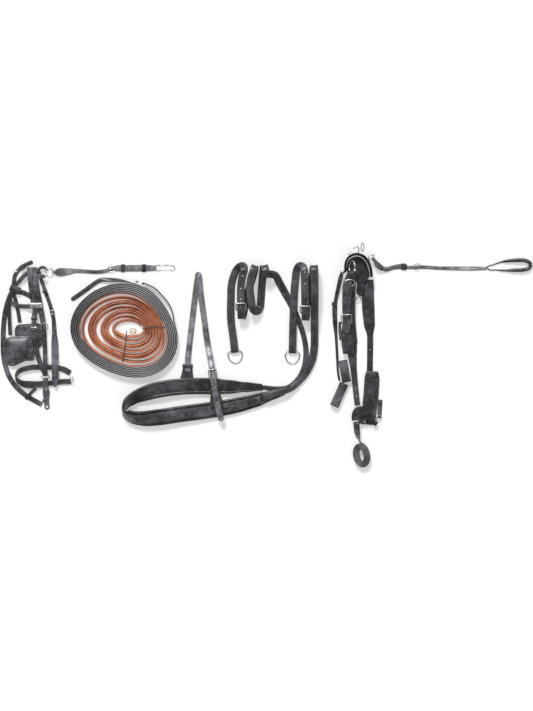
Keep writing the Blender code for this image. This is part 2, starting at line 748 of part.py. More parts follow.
COLLAR_PX = ((284, 391.6, 0, 0.42), (272.5, 394.8, 0, 0.6), (255, 400.6, 0, 0.82), (235, 405.5, 0, 0.95),
             (208, 410.3, 0, 1), (180, 414, 0, 1), (158, 417.2, 0, 1), (142, 418.3, 0, 1),
             (131.5, 416.6, 0, 1), (125, 411.5, 0, 1), (126.5, 404.2, 0, 1), (133.5, 398.2, 0, 1),
             (144, 393.6, 0, 1), (160, 389.2, 0, 1), (178, 386.8, 0, 1), (195, 386, 0, 1),
             (212, 386.2, 0, 1), (228, 386.8, 0, 0.86), (245, 387, 0, 0.62), (262, 387.2, 0, 0.42))
COLLAR_BEND_PX = (125, 408)
COLLAR_LEANS = (math.radians(52), math.radians(9))
BEND_REACH_SHARE = 0.14
COLLAR_STRAP_ENDS_PX = ((259.5, 399), (246, 387))
NECK_FAR_PX = ((187.3, 371.5, 1, 1), (187.6, 360, 1, 1), (188.8, 348, 0, 1), (192, 320, 0, 1),
               (195.6, 290, 0, 1), (197.6, 276, 0, 1))
NECK_NEAR_PX = ((198.6, 276, 2, 1), (200, 290, 1, 1), (204, 320, 0, 1), (207.5, 345, 2, 1),
                (210, 358, 6, 1), (212, 369, 9, 1), (213.5, 381, 9, 1), (215.5, 395, 9, 1),
                (218, 407.5, 8, 1), (221.5, 421, 6.2, 1))
NECK_HOLES_PX = ((209.2, 351.5), (188.3, 352), (189.6, 341))
NECK_BAR_PX = (213.2, 379.6)
NECK_OUTER_BAR_PX = (211.9, 368.8)
NEAR_TUG_PX = ((216.6, 407, 6.6, 1), (216.2, 402, 6.8, 0.94), (214.8, 391, 7.8, 0.66))
FAR_TUG_PX = ((187.4, 364, 0, 0.6), (187.1, 371, 0, 0.8), (186.6, 379, 0, 1), (186.4, 383.5, 0.3, 1))
NEAR_TRACE_START_PX = ((263.5, 397.6, 4.2, 0.9), (277, 393, 4, 0.8), (285.5, 390.6, 3.7, 0.8),
                       (292, 387.6, 1.9, 0.8), (298.5, 382, 1, 0.8), (306.8, 371.5, 1, 0.9),
                       (311.8, 360, 1, 1), (314, 347, 1, 1), (314.2, 334, 1.3, 1), (314.2, 322, 4, 1))
FAR_TRACE_START_PX = ((252, 387, 0.15, 0.6), (264, 387.6, 0, 0.6), (277, 389, 0, 0.7),
                      (288.5, 387.2, 0, 0.7), (297, 380.2, 0, 0.7), (302.8, 371, 0, 0.75),
                      (305.6, 359, 0, 0.75), (305.2, 345, 0, 0.7), (302, 331, 0, 0.7),
                      (297, 317.5, 0, 0.8), (290, 302.5, 0, 0.9), (284.3, 292, 0, 1),
                      (279.3, 283, 1.2, 1), (274.5, 275.5, 4.5, 1))
COIL_TOP_PX = 266
NEAR_COIL_PX = ((3, 314.2, 315), (3.8, 314, 316), (4.4, 312.5, 318), (5, 308.8, 319), (6, 305, 320),
                (7, 304.4, 320), (7.7, 304.2, 319.5), (8, 301.3, 319), (8.3, 297.3, 319), (9, 293.8, 318))
FAR_COIL_PX = ((-0.45, 267, 311), (0, 264.4, 311), (1, 261.4, 311), (2, 254.8, 311.5), (3, 249.6, 313),
               (3.7, 254.4, 315), (4, 255.4, 316), (4.4, 253.4, 317), (5, 247.5, 318), (6, 241.4, 318.5),
               (7, 240.3, 318.5), (7.6, 244.3, 318), (7.85, 245, 317.5), (8.15, 240, 317), (8.4, 236, 317),
               (9, 230.6, 316))
COIL_LOW_LEVELS = {"near": 1, "far": 0}
COIL_RISE = 8
QUARTER_POINTS = 36
NEAR_TRACE_END_PX = ((292.6, 330, 2, 1), (292.2, 351.3, 2, 1))
FAR_TRACE_END_PX = ((230.8, 322, 1, 1), (233, 338, 2, 1), (234.4, 350.8, 2, 1))
NEAR_TRACE_BUCKLE_PX = ((304.4, 313), (304.4, 306.5))
FAR_TRACE_BUCKLE_PX = ((240.4, 310.6), (240.4, 304.2))
NEAR_TRACE_HOLES_PX = ((304.3, 272.5), (304.3, 284), (304.4, 296.5))
FAR_TRACE_HOLES_PX = ((241.2, 276), (240.6, 288.5), (240.4, 299))


def band_line(plan, table, bend_px, leans, width, depth, outer_reach=0, outer_width=0):
    """The middle line of a padded band that stands up where it bends and lies nearly flat along both sides.

    The table's rows are x, y, how many levels the band is raised there, and its width share. Gives the
    line and the directions across it and out of the loop."""
    flat = smooth([[*plan.spot(row), row[2] * (plan.leather + CLEARANCE), row[3]] for row in table])
    lift = flat[:, 2].copy()
    flat[:, 2] = 0
    along = distances(flat)
    bend = nearest_distance(flat, plan.spot(bend_px))
    near_bend = np.clip(np.abs(along - bend) / (along[-1] * BEND_REACH_SHARE), 0, 1)
    lean = eased(leans[0], leans[1], near_bend)
    across = np.column_stack([np.zeros(len(flat)), np.cos(lean), np.sin(lean)])
    outward = -unit(np.cross(headings(flat), across))
    lowest = width / 2 * flat[:, 3] * np.sin(lean) + depth / 2 * np.abs(outward[:, 2])
    outer = outer_width / 2 * np.sin(lean) - (depth / 2 + outer_reach) * outward[:, 2]
    height = np.maximum(lowest, outer) if outer_reach else lowest
    spread = 2 * SPAN_STEPS
    for pick in (np.max, np.mean):
        padded = np.pad(height, spread, "edge")
        height = np.array([pick(padded[i:i + 2 * spread + 1]) for i in range(len(height))])
    flat[:, 2] = height + lift + CLEARANCE
    return flat, across, -unit(np.cross(headings(flat), across))


def band(name, line, across, width, depth, look, longest=LONGEST_STEP / 2):
    places = stations(line, longest, TURN_STEP)
    rows = at_distance(line, places)
    along = distances(line)
    sideways = unit(np.column_stack([np.interp(places, along, across[:, k]) for k in range(3)]))
    sections = np.array([padded_section(width * share, depth) for share in rows[:, 3]])
    return swept(name, rows, sections, look, across=sideways)


def racetrack(turn, reach, rise):
    """Places on a flattened loop with round ends: how far along it, and how far below its middle."""
    flat = reach - rise
    quarter = flat + rise * QUARTER_TURN
    quarters, part = np.divmod(turn / QUARTER_TURN, 1)
    odd = quarters % 2 == 1
    walked = np.where(odd, 1 - part, part) * quarter
    angle = np.minimum(walked / rise, QUARTER_TURN)
    along = flat + rise * np.cos(angle) - np.maximum(walked - rise * QUARTER_TURN, 0)
    below = rise * np.sin(angle)
    return np.where(np.isin(quarters % 4, (0, 3)), along, -along), np.where(quarters % 4 < 2, below, -below)


def coil_loops(plan, table, low_level):
    """A trace's coil: flattened loops that step sideways from quarter turn to quarter turn."""
    quarters, x_px, bottom_px = smooth(table).T
    count = round((quarters[-1] - quarters[0]) * QUARTER_POINTS)
    quarter = np.linspace(quarters[0], quarters[-1], count + 1)
    flat = np.array([plan.spot(p) for p in zip(np.interp(quarter, quarters, x_px),
                                               np.interp(quarter, quarters, bottom_px))])
    top = plan.spot((x_px[0], COIL_TOP_PX))[1]
    low, high = plan.height(low_level), plan.height(low_level + COIL_RISE)
    along, below = racetrack(quarter * QUARTER_TURN, (top - flat[:, 1]) / 2, (high - low) / 2)
    return np.column_stack([flat[:, 0], (top + flat[:, 1]) / 2 + along, (low + high) / 2 - below,
                            np.ones(len(quarter))])


def collar(plan, trace_plan):
    line, across, outward = band_line(plan, COLLAR_PX, COLLAR_BEND_PX, COLLAR_LEANS, COLLAR_WIDTH, COLLAR_PAD,
                                      COLLAR_STRAP_GAP + COLLAR_LEATHER, COLLAR_STRAP_WIDTH)
    band("collar_lining", line, across, COLLAR_WIDTH, COLLAR_PAD, "black_leather")
    inside = slice(*(nearest_index(line, plan.spot(p)) for p in COLLAR_STRAP_ENDS_PX))
    outer = line[inside].copy()
    outer[:, :3] += outward[inside] * (COLLAR_PAD / 2 + COLLAR_STRAP_GAP + COLLAR_LEATHER / 2)
    strap("collar_strap", outer, COLLAR_STRAP_WIDTH, COLLAR_LEATHER, "worn_leather", across=across[inside])

    neck_buckle = Buckle(plan, plan.spot(NECK_BAR_PX), plan.spot(NECK_OUTER_BAR_PX), 7, NECK_STRAP_WIDTH,
                         NECK_BUCKLE_SPAN)
    tug_line = np.vstack([plan.line(NEAR_TUG_PX + ((*NECK_BAR_PX, 8, 0.5),))[:-1],
                          np.column_stack([neck_buckle.chape_end(), np.full(10, 0.5)])])
    strap("near_tug", tug_line, TUG_FOOT_WIDTH, COLLAR_LEATHER, "black_leather",
          slots=[neck_buckle.chape_slot(tug_line)])
    strap("far_tug", plan.line(FAR_TUG_PX), TUG_FOOT_WIDTH, COLLAR_LEATHER, "black_leather")
    far_leg, near_leg = plan.line(NECK_FAR_PX), plan.line(NECK_NEAR_PX)
    neck_line = np.vstack([far_leg, fold(far_leg[-1], near_leg[0], (0, 1)), near_leg])
    strap("neck_strap", neck_line, NECK_STRAP_WIDTH, COLLAR_LEATHER, "worn_leather",
          slots=[neck_buckle.billet_slot(neck_line)] + [hole(neck_line, plan.spot(p)) for p in NECK_HOLES_PX],
          tips=(False, True))
    neck_buckle.frame("neck_buckle")
    neck_buckle.tongue("neck_tongue")

    near = NEAR_TRACE_START_PX, NEAR_COIL_PX, NEAR_TRACE_END_PX, NEAR_TRACE_BUCKLE_PX, NEAR_TRACE_HOLES_PX
    far = FAR_TRACE_START_PX, FAR_COIL_PX, FAR_TRACE_END_PX, FAR_TRACE_BUCKLE_PX, FAR_TRACE_HOLES_PX
    for side, (start, coil, end, bars, holes) in (("near", near), ("far", far)):
        loops = coil_loops(trace_plan, coil, COIL_LOW_LEVELS[side])
        print("least gap in the", side, "trace coil, mm:", least_gap([loops], TRACE_WIDTH))
        lead = smooth(np.vstack([trace_plan.rows(start), loops[:1]]))
        tail = smooth(np.vstack([loops[-1:], trace_plan.rows(end)]))
        line = np.vstack([lead[:-1], loops, tail[1:]])
        line, centre, hanging = wrap_end(line, TRACE_RING_WIRE, TRACE_LEATHER)
        level = COIL_LOW_LEVELS[side] + COIL_RISE
        bar, toward = (on_line(loops, trace_plan, p, level) for p in bars)
        buckle = Buckle(trace_plan, bar, toward, level - 1, TRACE_WIDTH, TRACE_BUCKLE_SPAN, rise=1)
        tops = [[*trace_plan.spot(p), trace_plan.height(level)] for p in holes]
        strap(side + "_trace", line, TRACE_WIDTH, TRACE_LEATHER, "black_leather",
              slots=[buckle.billet_slot(line)] + [hole(line, top) for top in tops])
        hung_ring(side + "_trace_ring", centre, hanging, (TRACE_RING_WIDTH - TRACE_RING_WIRE) / 2,
                  TRACE_RING_DEPTH - TRACE_RING_WIRE, TRACE_RING_WIRE)
        buckle.frame(side + "_trace_buckle")
        buckle.tongue(side + "_trace_tongue")


# The bridle


CROWN_NEAR_PX = ((35.7, 339.5, 5, 0.48), (35.1, 332.5, 5, 0.48), (34.5, 325.5, 5, 0.5), (35, 316, 5, 0.52),
                 (36.2, 309, 5, 0.6), (35.2, 298, 5, 0.94), (33.6, 283, 5, 1), (32.2, 268.5, 5, 1))
CROWN_FAR_PX = ((32.2, 268.5, 3, 1), (34.2, 284, 3, 1), (37.6, 299, 3, 0.9), (41.2, 311, 3, 0.6),
                (43.6, 324, 3, 0.52), (44.6, 335, 3, 0.5))
CROWN_SLIT_PX, CROWN_SLIT_HALF_PX = (32.9, 278.5), (3, 0.5)
CHEEK_BAR_PX, CHEEK_OUTER_PX = (35.3, 335.2), (34.6, 327)
NEAR_CHEEK_PX = ((45.2, 372.5, 5.1, 1), (42, 366, 5.1, 1), (38.2, 356, 4.2, 1), (36.6, 346, 4, 1))
FAR_CHEEK_PX = ((44.5, 332, 1.9, 0.9), (45, 345, 2, 0.9), (45.3, 352, 2.3, 0.9), (45.6, 361, 4, 0.9),
                (45.8, 374.6, 4, 0.9))
BIT_RING_PX = (8.6, 4.6)
BIT_STRAP_PX = ((46.1, 377.8, 4, 1), (46.2, 382, 4, 1), (46.2, 388, 3.6, 1.2), (46.4, 393, 1.5, 1.45),
                (46.6, 401, 0, 1.1), (47.4, 409.5, 0, 1.1))
BIT_STRAP_HOLE_PX = (47.2, 406.6)
BIT_HOLE_HALF_PX = 1.2
NOSEBAND_PX = ((70.5, 373, 0, 1), (64, 369.4, 0, 1), (55, 367.6, 0, 1), (40, 367, 0, 1),
               (26.5, 368.4, 0.4, 1), (18.6, 372, 1.1, 1), (16.6, 377.4, 1.3, 1), (21, 382.6, 1.1, 1.15),
               (31, 384.6, 0.5, 1.35), (41, 384.2, 0, 1.2), (50, 383.2, 0, 1), (60, 381.8, 0, 1),
               (71, 381.4, 0, 1))
NOSEBAND_BEND_PX = (16.6, 376)
NOSEBAND_LEANS = (math.radians(50), math.radians(8))
SIDE_STRAP_PX = ((31.5, 296.5, 0, 1), (20, 292, 0, 1), (12, 293, 0, 1), (8.6, 300, 0, 1),
                 (5.8, 310, 0, 1), (3.8, 325, 0, 1), (3.2, 340, 0, 1), (3.6, 355, 0, 1),
                 (5.6, 366, 0, 1), (9.6, 377, 0, 1), (16.6, 387, 0, 1), (27.6, 396.4, 0, 1),
                 (38, 402.4, 0, 1), (42.2, 404.6, 0, 1))
THROATLATCH_PX = ((37.8, 268.5, 1, 1), (41.2, 279, 1, 1), (45, 290, 1, 1), (48.2, 299, 1, 1),
                  (51.4, 309, 1, 1), (53.6, 319, 1, 1), (54.4, 331, 1, 1.2), (55, 345, 1, 1.8),
                  (55.3, 357, 2.4, 1.8), (55.5, 364.5, 3.7, 1.8), (55.6, 380, 3.8, 1.8),
                  (55.4, 386.8, 3.7, 0.9))
POLL_DOWN_PX = ((33, 261.6, 0, 1), (25, 265.4, 0, 1), (18.4, 270.5, 0, 1), (15, 276, 0, 1), (14, 286, 0, 1))
POLL_BACK_PX = ((14.8, 286, 2, 1), (18.6, 282.6, 2.4, 1), (22.6, 278, 3.6, 1), (25.4, 275.4, 4, 1),
                (29, 272.6, 4, 1))
STAY_NEAR_PX = ((10.8, 335.4, 3.4, 1), (9.8, 318, 3, 1), (9.6, 306, 3, 1), (12, 291, 3.4, 1))
STAY_FAR_PX = ((12.6, 291, 1, 1), (15.4, 299, 1, 1), (18, 310, 1, 1), (20, 322.6, 1, 1))
BROWBAND_PX = ((9.8, 296.4, 2, 1), (11, 302.4, 2, 1), (15.6, 305.2, 2, 1), (24, 306.4, 2.2, 1),
               (31, 306.6, 4, 1), (39, 306.2, 4, 1))
NEAR_BLINKER_PX = ((31.6, 337.4), (20, 336.4), (10, 337), (5.6, 338.6), (3.6, 343), (3.9, 352), (6, 361),
                   (9.4, 365.4), (14, 366), (20, 363.6), (26, 361), (34.8, 359.4), (35.05, 356.6),
                   (33.7, 346.6), (32.6, 341))
BLINKER_HINGE_PX = ((35.2, 357.5), (33.4, 345.5))
FAR_BLINKER_PX = ((40, 323.8), (30, 323.6), (22, 324.4), (17, 325.4), (15, 329), (15, 335), (17, 342),
                  (24, 347), (33, 349), (39.6, 348))
BLINKER_LEATHER = 0.003
BLINKER_DOME = 0.010
BLINKER_POINTS = 26
NEAR_BLINKER_LEVEL = 2.9
FAR_BLINKER_LEVEL = 0.8


def bridle(plan):
    crown_near, crown_far = plan.line(CROWN_NEAR_PX), plan.line(CROWN_FAR_PX)
    crown = np.vstack([crown_near, fold(crown_near[-1], crown_far[0], (0, 1)), crown_far])
    cheek = Buckle(plan, plan.spot(CHEEK_BAR_PX), plan.spot(CHEEK_OUTER_PX), 3, CHEEK_WIDTH,
                   CHEEK_BUCKLE_SPAN)
    slit = [*plan.spot(CROWN_SLIT_PX), plan.height(5)]
    half_slit = plan.scale * np.array(CROWN_SLIT_HALF_PX)
    strap("crown_piece", crown, CROWN_WIDTH, BRIDLE_LEATHER, "worn_leather", tips=(True, False),
          slots=[cheek.billet_slot(crown), (nearest_distance(crown, slit), *half_slit)])
    near_cheek = np.vstack([plan.line(NEAR_CHEEK_PX), np.column_stack([cheek.chape_end(), np.ones(10)])])
    strap("near_cheek_strap", near_cheek, CHEEK_WIDTH, BRIDLE_LEATHER, "black_leather",
          slots=[cheek.chape_slot(near_cheek)])
    cheek.frame("near_cheek_buckle")
    cheek.tongue("near_cheek_tongue")
    far_cheek, bar, toward = wrap_end(plan.line(FAR_CHEEK_PX), BIT_RING_WIRE, BRIDLE_LEATHER)
    strap("far_cheek_strap", far_cheek, CHEEK_WIDTH, BRIDLE_LEATHER, "black_leather")
    width, depth = plan.scale * np.array(BIT_RING_PX)
    flat = ring_line((0, 0, 0), width / 2, depth, 2 * BIT_RING_WIRE)
    side = np.array([-toward[1], toward[0], 0])
    points = bar + flat[:, :1] * side - flat[:, 1:2] * [*toward, 0]
    swept("bit_ring", points, round_section(BIT_RING_WIRE / 2), "nickel", across=(0, 0, 1), closed=True)
    bit_strap = plan.line(BIT_STRAP_PX)
    hole_at = nearest_distance(bit_strap, plan.spot(BIT_STRAP_HOLE_PX))
    half_hole = plan.scale * BIT_HOLE_HALF_PX
    strap("bit_strap", bit_strap, BIT_STRAP_WIDTH, BRIDLE_LEATHER, "worn_leather", tips=(False, True),
          slots=[(hole_at, half_hole, half_hole)])
    line, across, _ = band_line(plan, NOSEBAND_PX, NOSEBAND_BEND_PX, NOSEBAND_LEANS, NOSEBAND_WIDTH,
                                NOSEBAND_PAD)
    band("noseband", line, across, NOSEBAND_WIDTH, NOSEBAND_PAD, "black_leather")
    strap("side_strap", plan.line(SIDE_STRAP_PX), SIDE_STRAP_WIDTH, BRIDLE_LEATHER, "worn_leather")
    strap("throatlatch", plan.line(THROATLATCH_PX), THROATLATCH_WIDTH, BRIDLE_LEATHER, "worn_leather")
    strap("browband", plan.line(BROWBAND_PX), BROWBAND_WIDTH, BRIDLE_LEATHER, "worn_leather")
    for name, first, second, toward, width in (
        ("poll_strap", POLL_DOWN_PX, POLL_BACK_PX, (0.1, -1), POLL_STRAP_WIDTH),
        ("blinker_stay", STAY_NEAR_PX, STAY_FAR_PX, (0, 1), STAY_WIDTH),
    ):
        first, second = plan.line(first), plan.line(second)
        strap(name, np.vstack([first, fold(first[-1], second[0], toward), second]), width, BRIDLE_LEATHER,
              "black_leather", tips=(name == "poll_strap", False))
    hinge = [*plan.spot(BLINKER_HINGE_PX[0]), plan.height(NEAR_BLINKER_LEVEL)]
    for name, table, level, dome, pivot in (
        ("near_blinker", NEAR_BLINKER_PX, NEAR_BLINKER_LEVEL, BLINKER_DOME, hinge),
        ("far_blinker", FAR_BLINKER_PX, FAR_BLINKER_LEVEL, 0, (0, 0, 0)),
    ):
        outline = few(smooth([[*plan.spot(p), 0] for p in table], closed=True), BLINKER_POINTS)
        base = plan.height(level) - BRIDLE_LEATHER / 2
        plate(name, outline, base, BLINKER_LEATHER, "worn_leather", dome, pivot)


# The overcheck


CHECK_RING_HALF_PX = 3.9
CHECK_RING_POINTS = 36
HANGER_PX = ((36.2, 272.8, 4, 0.8), (39.6, 269, 4, 0.8), (42.6, 267.4, 3, 0.8), (44.7, 267.7, 2.8, 0.7),
             (46.94, 269.44, 2.5, 0.34))
CHECK_STRAP_PX = ((155.3, 268.2, 0.3, 1.4), (144, 268.2, 0, 1.7), (128, 268.3, 0, 1.7),
                  (117.5, 268.3, 0, 1.6), (113, 268.6, 0, 1), (107, 270.6, 0.6, 1), (98, 272, 0.3, 1),
                  (88, 271.6, 0.3, 1), (76, 271, 0, 1.1), (68, 271.7, 0, 1.8), (61, 272.3, 0, 2.2),
                  (57.4, 272.3, 1.4, 1.8), (53.6, 272.2, 2.5, 0.4))
CHECK_HOLE_PX = (152, 268.2)
SNAP_PX = ((156.4, 265.2), (156, 268.2), (156.6, 270.4), (158.4, 271), (159.6, 270.2))
SNAP_HOOK_PX = ((156.4, 265.4), (160, 265.2), (167, 265.2), (172, 265.6), (174.4, 267.2), (174.2, 269.4),
                (172, 270.4), (170.4, 270.2))
GATE_PX = ((159.85, 270.2), (170.15, 270.2))


def overcheck(plan):
    line, bar, _ = wrap_end(plan.line(CHECK_STRAP_PX), CHECK_RING_WIRE + 2 * CLEARANCE, OVERCHECK_LEATHER)
    half = plan.scale * CHECK_RING_HALF_PX
    turn = FULL_TURN * np.arange(CHECK_RING_POINTS) / CHECK_RING_POINTS
    ring = bar + half * np.column_stack([np.cos(turn) - 1, np.sin(turn), np.zeros(len(turn))])
    swept("overcheck_ring", ring, round_section(CHECK_RING_WIRE / 2), "nickel", across=(0, 0, 1), closed=True,
          pivot=bar - [half, 0, 0])
    strap("overcheck_strap", line, OVERCHECK_WIDTH, OVERCHECK_LEATHER, "worn_leather",
          slots=[hole(line, plan.spot(CHECK_HOLE_PX))])
    hanger, _, _ = wrap_end(plan.line(HANGER_PX), CHECK_RING_WIRE + CLEARANCE, OVERCHECK_LEATHER)
    strap("check_hanger", hanger, OVERCHECK_WIDTH, OVERCHECK_LEATHER, "black_leather")
    height = SNAP_WIRE / 2
    hook = smooth([[*plan.spot(p), height] for p in SNAP_PX[::-1] + SNAP_HOOK_PX[1:]])
    hook = at_distance(hook, stations(hook, LONGEST_STEP, 2 * TURN_STEP))
    swept("overcheck_snap", hook, round_section(SNAP_WIRE / 2), "nickel", across=(0, 0, 1))
    ends = [[*plan.spot(p), height] for p in GATE_PX]
    swept("overcheck_gate", [ends[0], ends[1]], round_section(GATE_WIRE / 2), "nickel", across=(0, 0, 1),
          pivot=ends[0])


# The saddle


SEAT_PX = ((344.5, 272.5), (344.4, 266), (345.9, 260), (350.2, 255.8), (356, 254.4), (362, 256.3),
           (366.8, 261.5), (369.6, 268.6), (370.7, 277.4))
NEAR_SKIRT_PX = ((351.4, 344, 1.2, 0.92), (349.4, 331, 2, 1), (348.5, 318, 3, 1), (348.4, 303, 4.4, 1),
                 (348.6, 290, 6, 1), (349.4, 279.5, 8, 0.9), (350.3, 273, 8.4, 0.62),
                 (350.5, 267, 8.6, 0.6), (351, 260.4, 9, 0.56))
NEAR_GIRTH_PX = ((350.6, 338, 0.1, 1.7), (351.2, 350, 0.1, 1.6), (351.8, 359, 0.6, 1.3),
                 (352.8, 370, 1.4, 1), (354.6, 388, 2, 0.9), (356, 401, 3, 0.9),
                 (356.6, 405.6, 3.2, 0.9))
NEAR_GIRTH_HOLES_PX = ((354.8, 388.9), (355.6, 396.6))
GIRTH_END_PX = ((355.2, 407.4), (363.6, 407.4), (366.2, 411.5), (366, 420), (363, 423), (352, 422.4),
                (351.2, 413))
GIRTH_END_LEVEL = 3.6
SADDLE_PAD_PX = ((346.3, 271.5), (346.2, 266.2), (347.5, 261), (351, 258), (356, 256.7), (361.1, 258.3),
                 (365, 262.6), (367.6, 269.2), (368.4, 277.6), (364.4, 281.4), (363, 292), (360.2, 296.6),
                 (356.8, 295), (355.4, 282), (350.5, 274.6))
FAR_SKIRT_PX = ((369, 376, 0, 0.5), (369.4, 352, 0, 0.5), (369.4, 336, 0, 0.52), (368.6, 324, 0, 0.94),
                (367.6, 308, 0, 1.04), (367.4, 290, 0, 1), (368.2, 279.6, 0, 0.76))
FAR_SKIRT_HOLE_PX = (369.4, 350)
GIRTH_PAD_PX = ((371.4, 371.5), (371, 382), (370.2, 395), (368.8, 408), (367.8, 419), (367.4, 425))
GIRTH_WIDTH_SHARES = (0.8, 1, 1, 1, 1, 1, 0.96, 0.92, 0.92)
GIRTH_PAD_LEVEL = 1
GIRTH_RING_DOWN_PX = 421
GIRTH_RING_HALF_PX, GIRTH_RING_DEPTH_PX = 2.7, 5.6
NEAR_TERRET_PX = (350.6, 267.6)
NEAR_TERRET_HALF = 0.019
NEAR_TERRET_LEAN = math.radians(62)
HOOK_PX = ((357.2, 253.25), (357.6, 248.6), (356, 246.9), (353.8, 247.4), (352.8, 249.6))
TUG_STRAP_PX = ((347.2, 279.4, 9.3, 0.9), (346.2, 288, 8.2, 0.98), (345.6, 300, 6.8, 0.94),
                (345.2, 312, 6.6, 0.82), (345.5, 322, 6.6, 0.8), (345.9, 333, 6.6, 0.78))
TUG_BAR_PX, TUG_OUTER_PX = (345.5, 323.6), (345.1, 315.2)
TUG_BAR_LEVEL = 4.6
TUG_CHAPE_PX = ((347.6, 354, 3.3, 0.9), (347, 344, 3.8, 1), (346, 333, 4.8, 0.95))
SLEEVE_PX = (((341.8, 360.4), (345.8, 382.4)), ((343.4, 383.7), (333.2, 406.8)))
SLEEVE_SIZE = (0.028, 0.018)
SLEEVE_LEATHER = 0.0026
SLEEVE_STRAP_PX = ((341.4, 272, 4, 1), (339.4, 279, 3.6, 1.3), (337.4, 288, 2.4, 1.2),
                   (334.8, 301, 1, 1.1), (333.9, 312, 0, 1.5), (334.2, 321, 0, 1.4),
                   (335.4, 338, 0, 0.9), (336.4, 356, 0.24, 0.8), (337.2, 372, 0.24, 0.7),
                   (338.6, 380.8, 0.24, 0.7))
BELLY_LEAD_PX = ((355.2, 418.6, 4.66, 1), (355.6, 425, 4.66, 1), (356.4, 433, 3.6, 1), (357.6, 438, 3, 1))
BELLY_COIL_PX = (360.3, 455.4)
BELLY_COIL_HALF_PX = (9.2, 13.2)
BELLY_TURNS = 5
BELLY_COIL_GAP = 0.0013
BELLY_LEAN = math.radians(14)
BELLY_POINTS = 20
BELLY_FLAT_SHARE = 0.4


def belly_line(plan):
    """The belly strap: its lead lies flat, then rolls onto its edge and winds inwards as an oval spiral."""
    centre = plan.spot(BELLY_COIL_PX)
    half = plan.scale * np.array(BELLY_COIL_HALF_PX) - SADDLE_LEATHER / 2
    pitch = SADDLE_LEATHER + BELLY_COIL_GAP
    turn = np.linspace(0, BELLY_TURNS * FULL_TURN, BELLY_TURNS * BELLY_POINTS + 1)
    depth = pitch * turn / FULL_TURN
    angle = QUARTER_TURN - BELLY_LEAN - turn
    radius = (half[0] - depth, half[1] - depth)
    x, y = radius[0] * np.cos(angle), radius[1] * np.sin(angle)
    lean = BELLY_LEAN
    flat = np.column_stack([x * math.cos(lean) - y * math.sin(lean), x * math.sin(lean) + y * math.cos(lean)])
    flat = flat + centre
    coil = np.column_stack([flat, np.full(len(flat), BELLY_STRAP_WIDTH / 2), np.ones(len(flat))])
    print("least gap between belly strap turns, mm:", least_gap([coil], SADDLE_LEATHER))
    lead = smooth(np.vstack([plan.rows(BELLY_LEAD_PX), coil[:1]]))[:-1]
    line = np.vstack([lead, coil])
    lead_share = np.clip(np.linspace(-BELLY_FLAT_SHARE, 1, len(lead)), 0, 1)
    rolled = np.concatenate([eased(0, 1, lead_share), np.ones(len(coil))])
    heading = headings(line)
    level = unit(np.column_stack([-heading[:, 1], heading[:, 0], np.zeros(len(line))]))
    angle = QUARTER_TURN * rolled
    across = level * np.cos(angle)[:, None] + np.array([0, 0, 1]) * np.sin(angle)[:, None]
    return line, across


